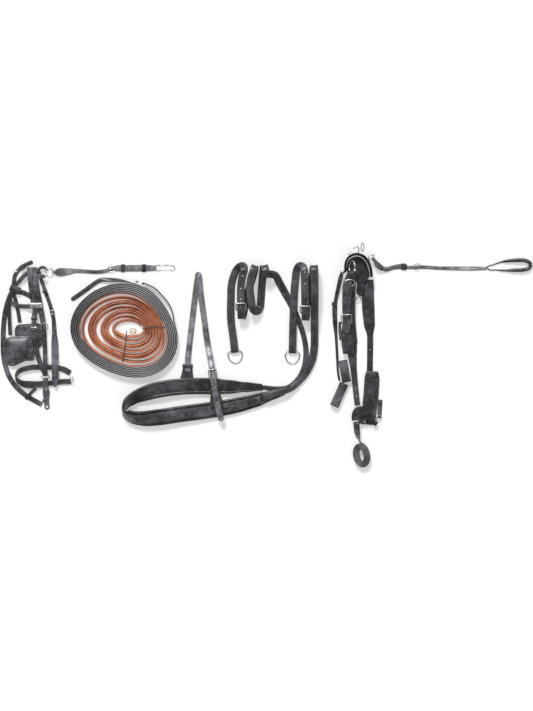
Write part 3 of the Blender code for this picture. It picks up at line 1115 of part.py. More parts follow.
def saddle(plan):
    seat = smooth([[*plan.spot(p), SEAT_WIDTH / 2 + CLEARANCE] for p in SEAT_PX])
    strap("saddle_seat", seat, SEAT_WIDTH, SEAT_LEATHER, "black_leather", across=(0, 0, 1))
    near_skirt = plan.line(NEAR_SKIRT_PX)
    strap("near_skirt", near_skirt, SKIRT_WIDTH, SADDLE_LEATHER, "black_leather")
    near_girth = plan.line(NEAR_GIRTH_PX)
    strap("near_girth_strap", near_girth, GIRTH_STRAP_WIDTH, SADDLE_LEATHER, "black_leather",
          slots=[hole(near_girth, plan.spot(p)) for p in NEAR_GIRTH_HOLES_PX])
    far_skirt = plan.line(FAR_SKIRT_PX)
    strap("far_skirt", far_skirt, SKIRT_WIDTH, SADDLE_LEATHER, "black_leather",
          slots=[hole(far_skirt, plan.spot(FAR_SKIRT_HOLE_PX))])
    for name, table, level, thick, points in (
        ("saddle_pad", SADDLE_PAD_PX, 1, SADDLE_PAD, 40),
        ("girth_end", GIRTH_END_PX, GIRTH_END_LEVEL, SADDLE_LEATHER, 20),
    ):
        outline = few(smooth([[*plan.spot(p), 0] for p in table], closed=True), points)
        plate(name, outline, plan.height(level) - SADDLE_LEATHER / 2, thick, "black_leather")
    base = plan.height(GIRTH_PAD_LEVEL) + (GIRTH_PAD - SADDLE_LEATHER) / 2
    pad = smooth([[*plan.spot(p), base] for p in GIRTH_PAD_PX])
    pad = at_distance(pad, np.linspace(0, distances(pad)[-1], len(GIRTH_WIDTH_SHARES)))
    sections = np.array([padded_section(GIRTH_WIDTH * share, GIRTH_PAD) for share in GIRTH_WIDTH_SHARES])
    swept("girth_pad", pad, sections, "black_leather")
    turn = FULL_TURN * np.arange(20) / 20
    flat = np.array([*plan.spot(NEAR_TERRET_PX), 0])
    reach = NEAR_TERRET_HALF
    top = plan.height(8.6) + SADDLE_LEATHER / 2 + TERRET_WIRE / 2 + CLEARANCE
    rise = reach * math.sin(NEAR_TERRET_LEAN)
    lean = np.array([math.cos(NEAR_TERRET_LEAN), 0, math.sin(NEAR_TERRET_LEAN)])
    ring = flat + [0, 0, top + rise] + reach * (np.cos(turn)[:, None] * np.array([0, 1, 0])
                                               + np.sin(turn)[:, None] * lean)
    swept("near_terret", ring, round_section(TERRET_WIRE / 2, 8), "nickel",
          across=np.cross(lean, (0, 1, 0)), closed=True)
    hook = smooth([[*plan.spot(p), SEAT_WIDTH / 2] for p in HOOK_PX])
    hook = at_distance(hook, stations(hook, LONGEST_STEP, 2 * TURN_STEP))
    swept("bearing_hook", hook, round_section(TERRET_WIRE / 2), "nickel", across=(0, 0, 1))

    tug = Buckle(plan, plan.spot(TUG_BAR_PX), plan.spot(TUG_OUTER_PX), TUG_BAR_LEVEL,
                 TUG_STRAP_WIDTH * TUG_BILLET_SHARE, TUG_BUCKLE_SPAN)
    tug_strap = plan.line(TUG_STRAP_PX)
    strap("tug_strap", tug_strap, TUG_STRAP_WIDTH, SADDLE_LEATHER, "worn_leather",
          slots=[tug.billet_slot(tug_strap)], tips=(True, True))
    chape = np.vstack([plan.line(TUG_CHAPE_PX), np.column_stack([tug.chape_end(), np.full(10, 0.66)])])
    strap("shaft_tug", chape, SHAFT_TUG_WIDTH, SADDLE_LEATHER, "black_leather", slots=[tug.chape_slot(chape)])
    tug.frame("tug_buckle")
    tug.tongue("tug_tongue")
    line, across = belly_line(plan)
    strap("belly_strap", line, BELLY_STRAP_WIDTH, SADDLE_LEATHER, "worn_leather", across=across,
          turn=FULL_TURN / BELLY_POINTS)
    for name, (top_px, low_px) in zip(("tug_sleeve_upper", "tug_sleeve_lower"), SLEEVE_PX):
        top, low = plan.spot(top_px), plan.spot(low_px)
        along = unit(top - low)
        centre = [*((top + low) / 2), SLEEVE_SIZE[1] / 2 + SLEEVE_LEATHER / 2 + CLEARANCE]
        loop_strap(name, centre, SLEEVE_SIZE[0] / 2, SLEEVE_SIZE[1] / 2, np.array([-along[1], along[0], 0]),
                   np.array([0, 0, 1]), np.linalg.norm(top - low), SLEEVE_LEATHER, "worn_leather")
    strap("sleeve_strap", plan.line(SLEEVE_STRAP_PX), SLEEVE_STRAP_WIDTH, SADDLE_LEATHER, "black_leather")
    beside = pad[np.argmin(np.abs(pad[:, 1] - plan.spot((0, GIRTH_RING_DOWN_PX))[1]))]
    centre = beside + [GIRTH_WIDTH * GIRTH_WIDTH_SHARES[-2] / 2 + GIRTH_RING_WIRE / 2 + 2 * CLEARANCE, 0, 0]
    hung_ring("girth_ring", centre, np.array([1, 0]), plan.scale * GIRTH_RING_HALF_PX,
              plan.scale * GIRTH_RING_DEPTH_PX, GIRTH_RING_WIRE)


# The back strap and crupper


BACK_STRAP_PX = ((486.6, 268.4, 0, 0.6), (470, 268.6, 0, 0.7), (457, 268.5, 0, 0.7), (440, 268.2, 0, 0.62),
                 (420, 267.2, 0, 0.62), (408, 267.6, 0, 0.62), (400, 266.6, 0, 0.9), (392.5, 267.6, 0, 0.8),
                 (384.5, 269.4, 1, 0.8), (377, 265.6, 4.6, 1), (373.6, 260.9, 6.1, 0.55),
                 (371.75, 259.1, 6.1, 0.55))
BACK_SLOT_PX, BACK_SLOT_HALF_PX = (468.5, 268.6), (10, 0.5)
DOCK_PX = ((487.2, 267.2), (493, 264.8), (500, 262.4), (508, 261), (518, 260.4), (526, 261), (530.2, 264),
           (529, 268), (523, 270), (514, 270.4), (504, 270.6), (495, 270), (488, 269.2))
DOCK_SHARES = (0.3, 0.3, 0.4, 0.8, 1, 1, 1, 1, 1, 0.9, 0.5, 0.3, 0.3)


def back(plan):
    line, bar, toward = wrap_end(plan.line(BACK_STRAP_PX), TERRET_WIRE, BACK_STRAP_LEATHER)
    split = (nearest_distance(line, plan.spot(BACK_SLOT_PX)), *(plan.scale * np.array(BACK_SLOT_HALF_PX)))
    strap("back_strap", line, BACK_STRAP_WIDTH, BACK_STRAP_LEATHER, "worn_leather", slots=[split])
    side = np.array([-toward[1], toward[0], 0])
    flat = ring_line((0, 0, 0), BACK_BUCKLE_HALF, BACK_BUCKLE_DEPTH, TERRET_WIRE)
    points = bar + flat[:, :1] * side - flat[:, 1:2] * [*toward, 0]
    section = round_section(TERRET_WIRE / 2)
    swept("back_strap_buckle", points, section, "nickel", across=(0, 0, 1), closed=True, pivot=bar)
    shares = np.array(DOCK_SHARES)
    rows = [[*plan.spot(p), DOCK_RADIUS, share] for p, share in zip(DOCK_PX, shares)]
    dock = few(smooth(rows, closed=True), DOCK_POINTS)
    sections = np.array([round_section(DOCK_RADIUS * share, 8) for share in dock[:, 3]])
    dock[:, 2] = DOCK_RADIUS * dock[:, 3]
    swept("crupper_dock", dock[:, :3], sections, "black_leather", across=(0, 0, 1), closed=True)


# The set places


def centre_on_floor():
    """Moves every piece together so that the whole layout is centred on x = y = 0."""
    items = list(bpy.data.objects)
    points = np.array([v.co + item.location for item in items for v in item.data.vertices])
    middle = (points.min(axis=0) + points.max(axis=0)) / 2
    for item in items:
        item.location = [item.location[0] - middle[0], item.location[1] - middle[1], item.location[2]]


def main():
    clear_scene()
    bridle_plan = Plan(BRIDLE_HEIGHT, 148, (36, 268), (0, 0), BRIDLE_LEATHER)
    check_plan = Plan(OVERCHECK_LENGTH, 128, (47, 272), bridle_plan.spot((47, 272)), OVERCHECK_LEATHER)
    coil_width = COIL_LENGTH * COIL_SIZE_PX[1] / COIL_SIZE_PX[0]
    coil_at = (bridle_plan.spot((59, 268))[0] + BRIDLE_TO_COIL + COIL_LENGTH / 2,
               check_plan.spot((47, 277))[1] - OVERCHECK_TO_COIL - coil_width / 2)
    coil_plan = Plan(COIL_LENGTH, COIL_SIZE_PX[0], COIL_PX, coil_at, REIN_LEATHER)
    collar_at = (max(coil_at[0] + COIL_LENGTH / 2 + COIL_TO_NECK_STRAP,
                     check_plan.spot((175, 272))[0] + OVERCHECK_TO_NECK_STRAP),
                 coil_at[1] - coil_width / 2 - COIL_TO_COLLAR)
    collar_plan = Plan(COLLAR_SET_LENGTH, 197.5, (185, 385), collar_at, COLLAR_LEATHER)
    trace_plan = Plan(COLLAR_SET_LENGTH, 197.5, (185, 385), collar_at, TRACE_LEATHER)
    saddle_at = (collar_plan.spot((319, 385))[0] + COLLAR_TO_SADDLE, bridle_plan.spot((36, 250))[1])
    saddle_plan = Plan(SADDLE_DROP, 219, (330, 250), saddle_at, SADDLE_LEATHER)
    back_plan = Plan(BACK_STRAP_LENGTH, 170, (366, 260), saddle_plan.spot((366, 260)), BACK_STRAP_LEATHER)
    reins(coil_plan)
    collar(collar_plan, trace_plan)
    bridle(bridle_plan)
    overcheck(check_plan)
    saddle(saddle_plan)
    back(back_plan)
    centre_on_floor()


main()
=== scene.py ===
import json
import math

import bpy
import numpy as np
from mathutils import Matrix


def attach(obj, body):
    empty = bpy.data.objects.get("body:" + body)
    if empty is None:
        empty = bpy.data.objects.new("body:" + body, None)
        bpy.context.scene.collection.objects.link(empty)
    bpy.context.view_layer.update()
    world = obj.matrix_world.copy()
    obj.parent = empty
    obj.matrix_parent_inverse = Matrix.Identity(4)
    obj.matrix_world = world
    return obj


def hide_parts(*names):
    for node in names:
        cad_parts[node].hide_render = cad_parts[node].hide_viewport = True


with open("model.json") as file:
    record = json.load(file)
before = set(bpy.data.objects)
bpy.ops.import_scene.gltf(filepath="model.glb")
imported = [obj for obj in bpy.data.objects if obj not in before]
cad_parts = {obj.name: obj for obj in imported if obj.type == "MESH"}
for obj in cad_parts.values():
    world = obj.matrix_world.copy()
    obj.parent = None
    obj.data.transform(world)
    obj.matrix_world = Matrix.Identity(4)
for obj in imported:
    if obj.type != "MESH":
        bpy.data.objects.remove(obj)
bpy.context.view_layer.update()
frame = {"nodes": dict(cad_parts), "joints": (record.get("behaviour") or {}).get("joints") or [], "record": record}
print("frame loaded:", len(frame["nodes"]), "nodes")

# A pony's driving harness on a pale floor, seen from straight above.
# Tables named Px hold picture places (x right, y down), then the strap level and the share of the width.
# Level 0 lies on the floor, and each level is one strap and one clearance higher.

gap = 0.0003  # clear space between pieces that touch, metres
quarterTurn = math.pi / 2
fullTurn = 2 * math.pi
nodeBody = {node: body for body, nodes in frame["record"]["behaviour"]["bodies"].items() for node in nodes}
jointAt = {joint["name"]: np.array(joint["pos_m"]) for joint in frame["joints"]}


# Materials


def linear(hexColour):  # an sRGB hex value as the linear colour that a shader takes
    share = np.array([int(hexColour[i:i + 2], 16) for i in (1, 3, 5)]) / 255
    share = np.where(share <= 0.04045, share / 12.92, ((share + 0.055) / 1.055) ** 2.4)
    return (*share.tolist(), 1.0)


def addNode(tree, kind, settings=None, links=None):
    # settings are attributes, or socket values where the key is an input's name or number;
    # links are {input: (node, output)}
    node = tree.nodes.new(kind)
    for key, value in (settings or {}).items():
        if isinstance(key, int) or key in node.inputs.keys():
            node.inputs[key].default_value = value
        else:
            setattr(node, key, value)
    for key, (source, output) in (links or {}).items():
        tree.links.new(source.outputs[output], node.inputs[key])
    return node


def newLook(name):
    material = bpy.data.materials.new(name)
    material.use_nodes = True
    return material, material.node_tree, material.node_tree.nodes["Principled BSDF"]


def rampOf(tree, source, output, stops):  # a colour ramp with stops of (place, hex colour)
    ramp = addNode(tree, "ShaderNodeValToRGB", links={"Fac": (source, output)})
    elements = ramp.color_ramp.elements
    while len(elements) < len(stops):
        elements.new(0.5)
    for element, (place, colour) in zip(elements, stops):
        element.position = place
        element.color = linear(colour)
    return ramp


leatherLooks = {
    # waxed harness leather: dyed through, boarded grain; its pale and grey spots, laid at random, are painted
    # sheen mixed with rubbed wear
    "blackLeather": {"dark": "#0d0e10", "mid": "#292a2e", "pale": "#4c4d52", "rubbedAndSheen": "#77787d",
                     "edge": "#303033", "wear": 0.45, "roughness": (0.28, 0.46)},
    # the same leather where it has been handled more, so that it reads a shade paler
    "wornLeather": {"dark": "#17181b", "mid": "#3c3d42", "pale": "#66676d", "rubbedAndSheen": "#96979c",
                    "edge": "#47484b", "wear": 0.55, "roughness": (0.26, 0.44)},
    # unwaxed leather, as on a saddle's tree: the same black with hardly any shine
    "dullLeather": {"dark": "#0d0e10", "mid": "#222326", "pale": "#3a3b3f", "rubbedAndSheen": "#5c5d62",
                    "edge": "#1c1c1e", "wear": 0.3, "roughness": (0.62, 0.78), "shine": (0.08, 0.0)},
    # straps given a grey, nearly silvery painted sheen over the black, broken at random by darker patches
    "sheenPaintedLeather": {"dark": "#2c2d31", "mid": "#66676c", "pale": "#93949a", "rubbedAndSheen": "#bcbdc1",
                       "edge": "#5a5b5f", "wear": 0.6, "roughness": (0.26, 0.42)},
    # russet bridle leather: undyed oak-bark tan under oil, redder in random patches, its pale spots painted sheen
    # and rubbed wear
    "russetLeather": {"dark": "#94482a", "mid": "#c27a54", "pale": "#d89a78", "rubbedAndSheen": "#efc9ae",
                      "edge": "#a35a38", "wear": 0.5, "roughness": (0.34, 0.52)},
}
grain = {"pebble": 0.0011, "pore": 0.00035, "patch": 0.075, "rub": 0.016, "bump": 0.00010}  # sizes in metres


def makeLeather(name):
    # colour: random patches of three shades, the palest painted sheen, grey spots of painted sheen and rubbed
    # wear, and an edge colour along cut edges and creased lines; relief: pebbles with fine pores
    look = leatherLooks[name]
    material, tree, shader = newLook(name)
    place = addNode(tree, "ShaderNodeTexCoord")
    patch = addNode(tree, "ShaderNodeTexNoise", {"Scale": 1 / grain["patch"], "Detail": 4.0, "Roughness": 0.6},
                    {"Vector": (place, "Object")})
    # the pale stop paints sheen into some of these random patches
    shades = rampOf(tree, patch, "Fac", ((0.34, look["dark"]), (0.50, look["mid"]), (0.66, look["pale"])))
    # grey spots laid at random over the shades: painted sheen and rubbed wear together; the same spots set the
    # gloss
    rub = addNode(tree, "ShaderNodeTexNoise", {"Scale": 1 / grain["rub"], "Detail": 6.0, "Roughness": 0.62,
                                               "Distortion": 0.6}, {"Vector": (place, "Object")})
    rubAndSheenShare = addNode(tree, "ShaderNodeMapRange", {"From Min": 0.50, "From Max": 0.78, "To Max": look["wear"]},
                       {"Value": (rub, "Fac")})
    rubbedAndSheen = addNode(tree, "ShaderNodeMix", {"data_type": "RGBA", 7: linear(look["rubbedAndSheen"])},
                     {0: (rubAndSheenShare, "Result"), 6: (shades, "Color")})
    edge = addNode(tree, "ShaderNodeAttribute", {"attribute_name": "edge"})
    edgeShare = addNode(tree, "ShaderNodeMath", {"operation": "MULTIPLY", 1: 0.7}, {0: (edge, "Fac")})
    coloured = addNode(tree, "ShaderNodeMix", {"data_type": "RGBA", 7: linear(look["edge"])},
                       {0: (edgeShare, "Value"), 6: (rubbedAndSheen, 2)})
    tree.links.new(coloured.outputs[2], shader.inputs["Base Color"])
    low, high = look["roughness"]
    gloss = addNode(tree, "ShaderNodeMapRange", {"To Min": low, "To Max": high}, {"Value": (rub, "Fac")})
    tree.links.new(gloss.outputs["Result"], shader.inputs["Roughness"])
    pebble = addNode(tree, "ShaderNodeTexVoronoi", {"Scale": 1 / grain["pebble"], "Randomness": 0.9},
                     {"Vector": (place, "Object")})
    pore = addNode(tree, "ShaderNodeTexNoise", {"Scale": 1 / grain["pore"], "Detail": 2.0},
                   {"Vector": (place, "Object")})
    relief = addNode(tree, "ShaderNodeMix", {0: 0.4}, {2: (pebble, "Distance"), 3: (pore, "Fac")})
    bump = addNode(tree, "ShaderNodeBump", {"Strength": 0.55, "Distance": grain["bump"]},
                   {"Height": (relief, 0)})
    tree.links.new(bump.outputs["Normal"], shader.inputs["Normal"])
    shader.inputs["IOR"].default_value = 1.5
    specular, coat = look.get("shine", (0.4, 0.2))
    shader.inputs["Specular IOR Level"].default_value = specular
    shader.inputs["Coat Weight"].default_value = coat
    shader.inputs["Coat Roughness"].default_value = 0.3
    return material


metalLooks = {
    # nickel plate on cast and bent iron: bright, a little yellow, with a haze of fine handling marks
    "nickelPlate": {"low": "#9b9b97", "high": "#d2d1cc", "roughness": (0.20, 0.36), "mark": 0.009},
    # solid cast brass, polished on the high places and tarnished between
    "castBrass": {"low": "#a9762b", "high": "#e0b455", "roughness": (0.20, 0.42), "mark": 0.004},
}


def makeMetal(name):
    # colour and gloss both follow one cloud of marks, finer than a buckle is wide
    look = metalLooks[name]
    material, tree, shader = newLook(name)
    place = addNode(tree, "ShaderNodeTexCoord")
    mark = addNode(tree, "ShaderNodeTexNoise", {"Scale": 1 / look["mark"], "Detail": 5.0, "Roughness": 0.65},
                   {"Vector": (place, "Object")})
    shades = rampOf(tree, mark, "Fac", ((0.35, look["low"]), (0.65, look["high"])))
    tree.links.new(shades.outputs["Color"], shader.inputs["Base Color"])
    low, high = look["roughness"]
    gloss = addNode(tree, "ShaderNodeMapRange", {"To Min": low, "To Max": high}, {"Value": (mark, "Fac")})
    tree.links.new(gloss.outputs["Result"], shader.inputs["Roughness"])
    shader.inputs["Metallic"].default_value = 1.0
    return material


def makeThread():  # waxed linen thread, laid of plies about 0.4 mm thick, dark grey
    material, tree, shader = newLook("waxedThread")
    place = addNode(tree, "ShaderNodeTexCoord")
    ply = addNode(tree, "ShaderNodeTexWave", {"Scale": 900.0, "Distortion": 2.0},
                  {"Vector": (place, "Object")})
    shades = rampOf(tree, ply, "Fac", ((0.2, "#4a4a4c"), (0.8, "#77787a")))
    tree.links.new(shades.outputs["Color"], shader.inputs["Base Color"])
    shader.inputs["Roughness"].default_value = 0.6
    return material


looks = {name: makeLeather(name) for name in leatherLooks}
looks.update({name: makeMetal(name) for name in metalLooks})
looks["waxedThread"] = makeThread()
print("materials made:", len(looks))


# Lines that the pieces follow


def unitRows(vectors):  # each vector divided by its length
    vectors = np.asarray(vectors, float)
    return vectors / np.maximum(np.linalg.norm(vectors, axis=-1, keepdims=True), 1e-12)


def eased(low, high, share):  # low + (high - low) * (3 share^2 - 2 share^3)
    return low + (high - low) * share * share * (3 - 2 * share)


def smoothRoute(points, closed=False, steps=12):
    # a cubic curve through the rows in x and y; every other column eases from row to row
    rows = np.asarray(points, float)
    if closed:
        rows = np.vstack([rows, rows[:1]])
    leg = np.diff(rows[:, :2], axis=0)
    size = np.maximum(np.linalg.norm(leg, axis=1, keepdims=True), gap)
    slope = leg / size
    inner = (slope[:-1] * size[1:] + slope[1:] * size[:-1]) / (size[1:] + size[:-1])
    first, last = slope[:1], slope[-1:]
    if closed:
        first = last = (slope[-1:] * size[:1] + slope[:1] * size[-1:]) / (size[:1] + size[-1:])
    slopes = np.vstack([first, inner, last])
    t = np.arange(steps)[None, :, None] / steps
    flat = rows[:-1, None, :2] + leg[:, None] * (3 * t**2 - 2 * t**3)
    leaving, arriving = slopes[:-1, None] * (t - 2 * t**2 + t**3), slopes[1:, None] * (t**3 - t**2)
    flat = flat + size[:, None] * (leaving + arriving)
    rest = eased(rows[:-1, None, 2:], rows[1:, None, 2:], t)
    line = np.concatenate([flat, rest], axis=2).reshape(-1, rows.shape[1])
    return line if closed else np.vstack([line, rows[-1:]])


def walked(line):  # how far along the line each row is
    return np.concatenate([[0], np.cumsum(np.linalg.norm(np.diff(line[:, :3], axis=0), axis=1))])


def columnsAt(table, along, places):  # each column of the table, read between its rows
    return np.column_stack([np.interp(places, along, column) for column in table.T])


def rowsAt(line, places):  # rows of the line at distances along it
    return columnsAt(line, walked(line), places)


def nearestAt(line, place):  # distance along the line to where it passes a place, in two or three numbers
    count = 480
    fine = rowsAt(line, np.linspace(0, walked(line)[-1], count))
    away = np.linalg.norm(fine[:, :len(place)] - np.asarray(place), axis=1)
    return walked(line)[-1] * np.argmin(away) / (count - 1)


def headingsOf(line, closed=False):  # the unit step from the row before to the row after
    if closed:
        return unitRows(np.roll(line[:, :3], -1, axis=0) - np.roll(line[:, :3], 1, axis=0))
    return unitRows(np.gradient(line[:, :3], axis=0))


def levelSides(heading):  # level vectors square to the headings, as long as the headings are level
    return np.column_stack([-heading[:, 1], heading[:, 0], np.zeros(len(heading))])


def rolledSides(heading, angle):  # the level sides, turned up about the heading by the angle
    level = unitRows(levelSides(heading))
    return level * np.cos(angle)[:, None] + np.array([0, 0, 1]) * np.sin(angle)[:, None]


def acrossOf(heading):
    # level vectors square to the heading; where a strap stands upright in a fold they carry on from its sides
    leastLevel = 0.4
    level = levelSides(heading)
    sound = np.flatnonzero(np.linalg.norm(level, axis=1) > leastLevel)
    level = unitRows(level)
    turned = (level[sound[1:]] * level[sound[:-1]]).sum(axis=1) < 0
    signs = np.cumprod(np.concatenate([[1], np.where(turned, -1, 1)]))
    kept = level[sound] * signs[:, None]
    spread = columnsAt(kept, sound, np.arange(len(level)))
    return unitRows(spread - heading * (spread * heading).sum(axis=1, keepdims=True))


def stationsOf(line, longest=0.006, turn=math.radians(9)):  # distances along a line, closer where it bends
    along = walked(line)
    heading = unitRows(np.diff(line[:, :3], axis=0))
    bend = np.arccos(np.clip((heading[:-1] * heading[1:]).sum(axis=1), -1, 1))
    cost = np.concatenate([[0], np.cumsum(np.diff(along) / longest + np.concatenate([[0], bend]) / turn)])
    return np.interp(np.linspace(0, cost[-1], max(int(cost[-1]), 3) + 1), cost, along)


# The sets' places, from the frame's joints


def makePlan(pixel, anchorPx, anchor, leather):
    return {"pixel": pixel, "anchorPx": np.array(anchorPx, float), "anchor": np.array(anchor, float)[:2],
            "leather": leather}


def spot(plan, place):  # a picture place as a place on the floor
    return plan["anchor"] + (np.asarray(place, float)[..., :2] - plan["anchorPx"]) * plan["pixel"] * [1, -1]


def levelHeight(plan, level):  # the middle of a strap at this level
    return plan["leather"] / 2 + np.asarray(level, float) * (plan["leather"] + gap)


def atLift(plan, table, lift):  # picture places, all at one height
    return np.column_stack([spot(plan, table), np.full(len(table), lift)])


def planRows(plan, table):  # rows of (x, y, height, share of the width)
    table = np.asarray(table, float)
    return np.column_stack([spot(plan, table), levelHeight(plan, table[:, 2]), table[:, 3:]])


def planRoute(plan, table):
    return smoothRoute(planRows(plan, table))


bridlePlan = makePlan(0.488 / 148, (35.2, 357.5), jointAt["near_blinker_fold"], 0.0026)
checkPlan = makePlan(0.422 / 128, (159.85, 270.2), jointAt["overcheck_gate_spring"], 0.0026)
collarPlan = makePlan(0.650 / 197.5, (213.2, 379.6), jointAt["neck_tongue_swing"], 0.0035)
tracePlan = makePlan(0.650 / 197.5, (213.2, 379.6), jointAt["neck_tongue_swing"], 0.0045)
saddlePlan = makePlan(0.720 / 219, (345.5, 323.6), jointAt["tug_tongue_swing"], 0.0034)
backPlan = makePlan(0.558 / 170, (371.75, 259.1), jointAt["back_strap_lift"], 0.0032)


# Surfaces

laid = []  # the points of every piece so far, which small fittings are laid on
blunt = {"wire": 0.02, "tip": 0.03, "band": 0.12, "seat": 0.15}  # squared heights that round ends stop at


def addPiece(name, points, faces, look, body="harness", node=None, edge=None, sharp=38):
    mesh = bpy.data.meshes.new(name)
    points = np.asarray(points, float)
    laid.append(points)
    mesh.from_pydata(points.tolist(), [], faces)
    if edge is not None:
        attribute = mesh.attributes.new("edge", "FLOAT", "POINT")
        attribute.data.foreach_set("value", np.asarray(edge, np.float32).ravel())
    mesh.materials.append(looks[look])
    mesh.shade_smooth()
    mesh.set_sharp_from_angle(angle=math.radians(sharp))
    piece = bpy.data.objects.new(name, mesh)
    bpy.context.scene.collection.objects.link(piece)
    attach(piece, body)
    if node:
        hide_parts(node)
    return piece


def gridFaces(rings, sides, closed=False):
    # quads between neighbouring rings, wound so that they face out, and a cap at each open end
    i = np.arange(rings if closed else rings - 1)[:, None] * sides
    j = np.arange(sides)[None, :]
    k = (j + 1) % sides
    ahead = (i + sides) % (rings * sides)
    quads = np.stack([i + j, i + k, ahead + k, ahead + j], axis=-1).reshape(-1, 4).tolist()
    if closed:
        return quads
    return quads + [list(range(sides))[::-1], list(range((rings - 1) * sides, rings * sides))]


def carried(rows, sideways, heading, a, b):
    # point = row + a * sideways + b * up, where up is square to the heading and to sideways
    up = unitRows(np.cross(heading, sideways))
    return (rows[:, None, :3] + a[..., None] * sideways[:, None] + b[..., None] * up[:, None]).reshape(-1, 3)


def wirePiece(name, path, radius, look, across=None, closed=False, sides=12, node=None, body="harness"):
    # a circle carried along the path; at an open end it shrinks as a dome does
    path = np.asarray(path, float)
    radius = np.broadcast_to(np.asarray(radius, float), (len(path),))
    if not closed:
        thin = radius.min()
        ends = walked(path)[-1]
        shares = np.array([0, 0.08, 0.3, 0.65, 1])
        places = np.concatenate([walked(path)[1:-1], thin * shares, ends - thin * shares])
        places = np.unique(places[(places >= 0) & (places <= ends)])
        radius = np.interp(places, walked(path), radius)
        inward = np.clip(np.minimum(places, ends - places) / thin, 0, 1)
        radius = radius * domed(inward, blunt["wire"])
        path = rowsAt(path, places)
    heading = headingsOf(path, closed)
    if across is None:
        across = acrossOf(heading)
    across = np.broadcast_to(np.asarray(across, float), heading.shape)
    turn = fullTurn * np.arange(sides) / sides
    a, b = radius[:, None] * np.cos(turn), radius[:, None] * np.sin(turn)
    points = carried(path, across, heading, a, b)
    return addPiece(name, points, gridFaces(len(path), sides, closed), look, body, node)


creaseIn, creaseHalf, creaseDepth = 0.0024, 0.0005, 0.00022  # the line pressed along both edges of a strap


def strapSection(half, leather):
    # rows of (across, through) for each half width: round edges, a pressed line beside each, a slight crown
    edge = 0.32 * leather
    line = np.minimum(creaseIn, 0.36 * half)[:, None]
    round_ = np.minimum(edge, 0.3 * half)[:, None]
    thick = leather / 2
    full = half[:, None]
    zero = np.zeros_like(full)
    dip = creaseDepth / thick
    right = [(full - round_, -1), (full - 0.3 * round_, -0.74), (full, 0), (full - 0.3 * round_, 0.74),
             (full - round_, 1), (full - line + creaseHalf, 1), (full - line, 1 - dip),
             (full - line - creaseHalf, 1)]
    a = [zero] + [x for x, _ in right] + [zero] + [-x for x, _ in right[::-1]]
    b = [-1] + [y for _, y in right] + [1] + [y for _, y in right[::-1]]
    a = np.concatenate(a, axis=1)
    b = np.broadcast_to(thick * np.array(b, float), a.shape)
    edgeShare = np.array([0, 0.5, 0.9, 1, 0.9, 0.5, 0, 0.35, 0, 0, 0, 0.35, 0, 0.5, 0.9, 1, 0.9, 0.5])
    return a, b, np.broadcast_to(edgeShare, a.shape)


def domed(inward, least):  # how high a round end stands, at the share of its depth that lies inward
    return np.sqrt(np.maximum(1 - (1 - inward) ** 2, least))


def tipShare(places, end, rounding, tips):  # the share of the width that a rounded tip leaves
    share = np.ones(len(places))
    for side, rounded in zip((0, end), tips):
        if rounded:
            inward = np.clip(np.abs(places - side) / rounding, 0, 1)
            share = np.minimum(share, domed(inward, blunt["tip"]))
    return share


def strapFrame(route, across, places):
    # the route's rows and its across vectors at the places, both read from the dense line
    along = walked(route)
    heading = headingsOf(route)
    if across is None:
        sideways = acrossOf(heading)
    elif np.ndim(across) == 1:
        sideways = unitRows(across - heading * (heading @ np.asarray(across, float))[:, None])
    else:
        sideways = across
    picked = unitRows(columnsAt(sideways, along, places))
    return rowsAt(route, places), picked, unitRows(columnsAt(heading, along, places))


def slotCutter(route, across, centre, halfLength, halfWidth, leather):
    # a round-ended bar that follows the strap through its thickness
    along = np.linspace(-1, 1, 15) * halfLength
    rows, sideways, heading = strapFrame(route, across, np.clip(centre + along, 0, walked(route)[-1]))
    over = np.clip((np.abs(along) - (halfLength - halfWidth)) / halfWidth, 0, 1)
    half = halfWidth * np.sqrt(np.maximum(1 - over**2, 0.04))
    corners = np.array([(-1, -1), (1, -1), (1, 1), (-1, 1)])
    a = half[:, None] * corners[:, 0]
    b = np.broadcast_to((leather / 2 + 0.0007) * corners[:, 1], a.shape)
    return carried(rows, sideways, heading, a, b), gridFaces(len(rows), 4)


def cutThrough(piece, cutters):  # takes the cutters' bodies out of the piece, for good
    points, faces, start = [], [], 0
    for cutterPoints, cutterFaces in cutters:
        points.append(cutterPoints)
        faces += [[k + start for k in face] for face in cutterFaces]
        start += len(cutterPoints)
    mesh = bpy.data.meshes.new("cutter")
    mesh.from_pydata(np.vstack(points).tolist(), [], faces)
    cutter = bpy.data.objects.new("cutter", mesh)
    bpy.context.scene.collection.objects.link(cutter)
    cut = piece.modifiers.new("holes", "BOOLEAN")
    cut.operation = "DIFFERENCE"
    cut.object = cutter
    bpy.context.view_layer.update()
    result = bpy.data.meshes.new_from_object(piece.evaluated_get(bpy.context.evaluated_depsgraph_get()))
    piece.modifiers.clear()
    piece.data = result
    bpy.data.objects.remove(cutter)
    piece.data.set_sharp_from_angle(angle=math.radians(38))


def camel(node):  # a one-word node's piece says that it is leather, so that the two names differ
    first, *rest = node.split("_")
    return first + "".join(word.capitalize() for word in rest or ["leather"])


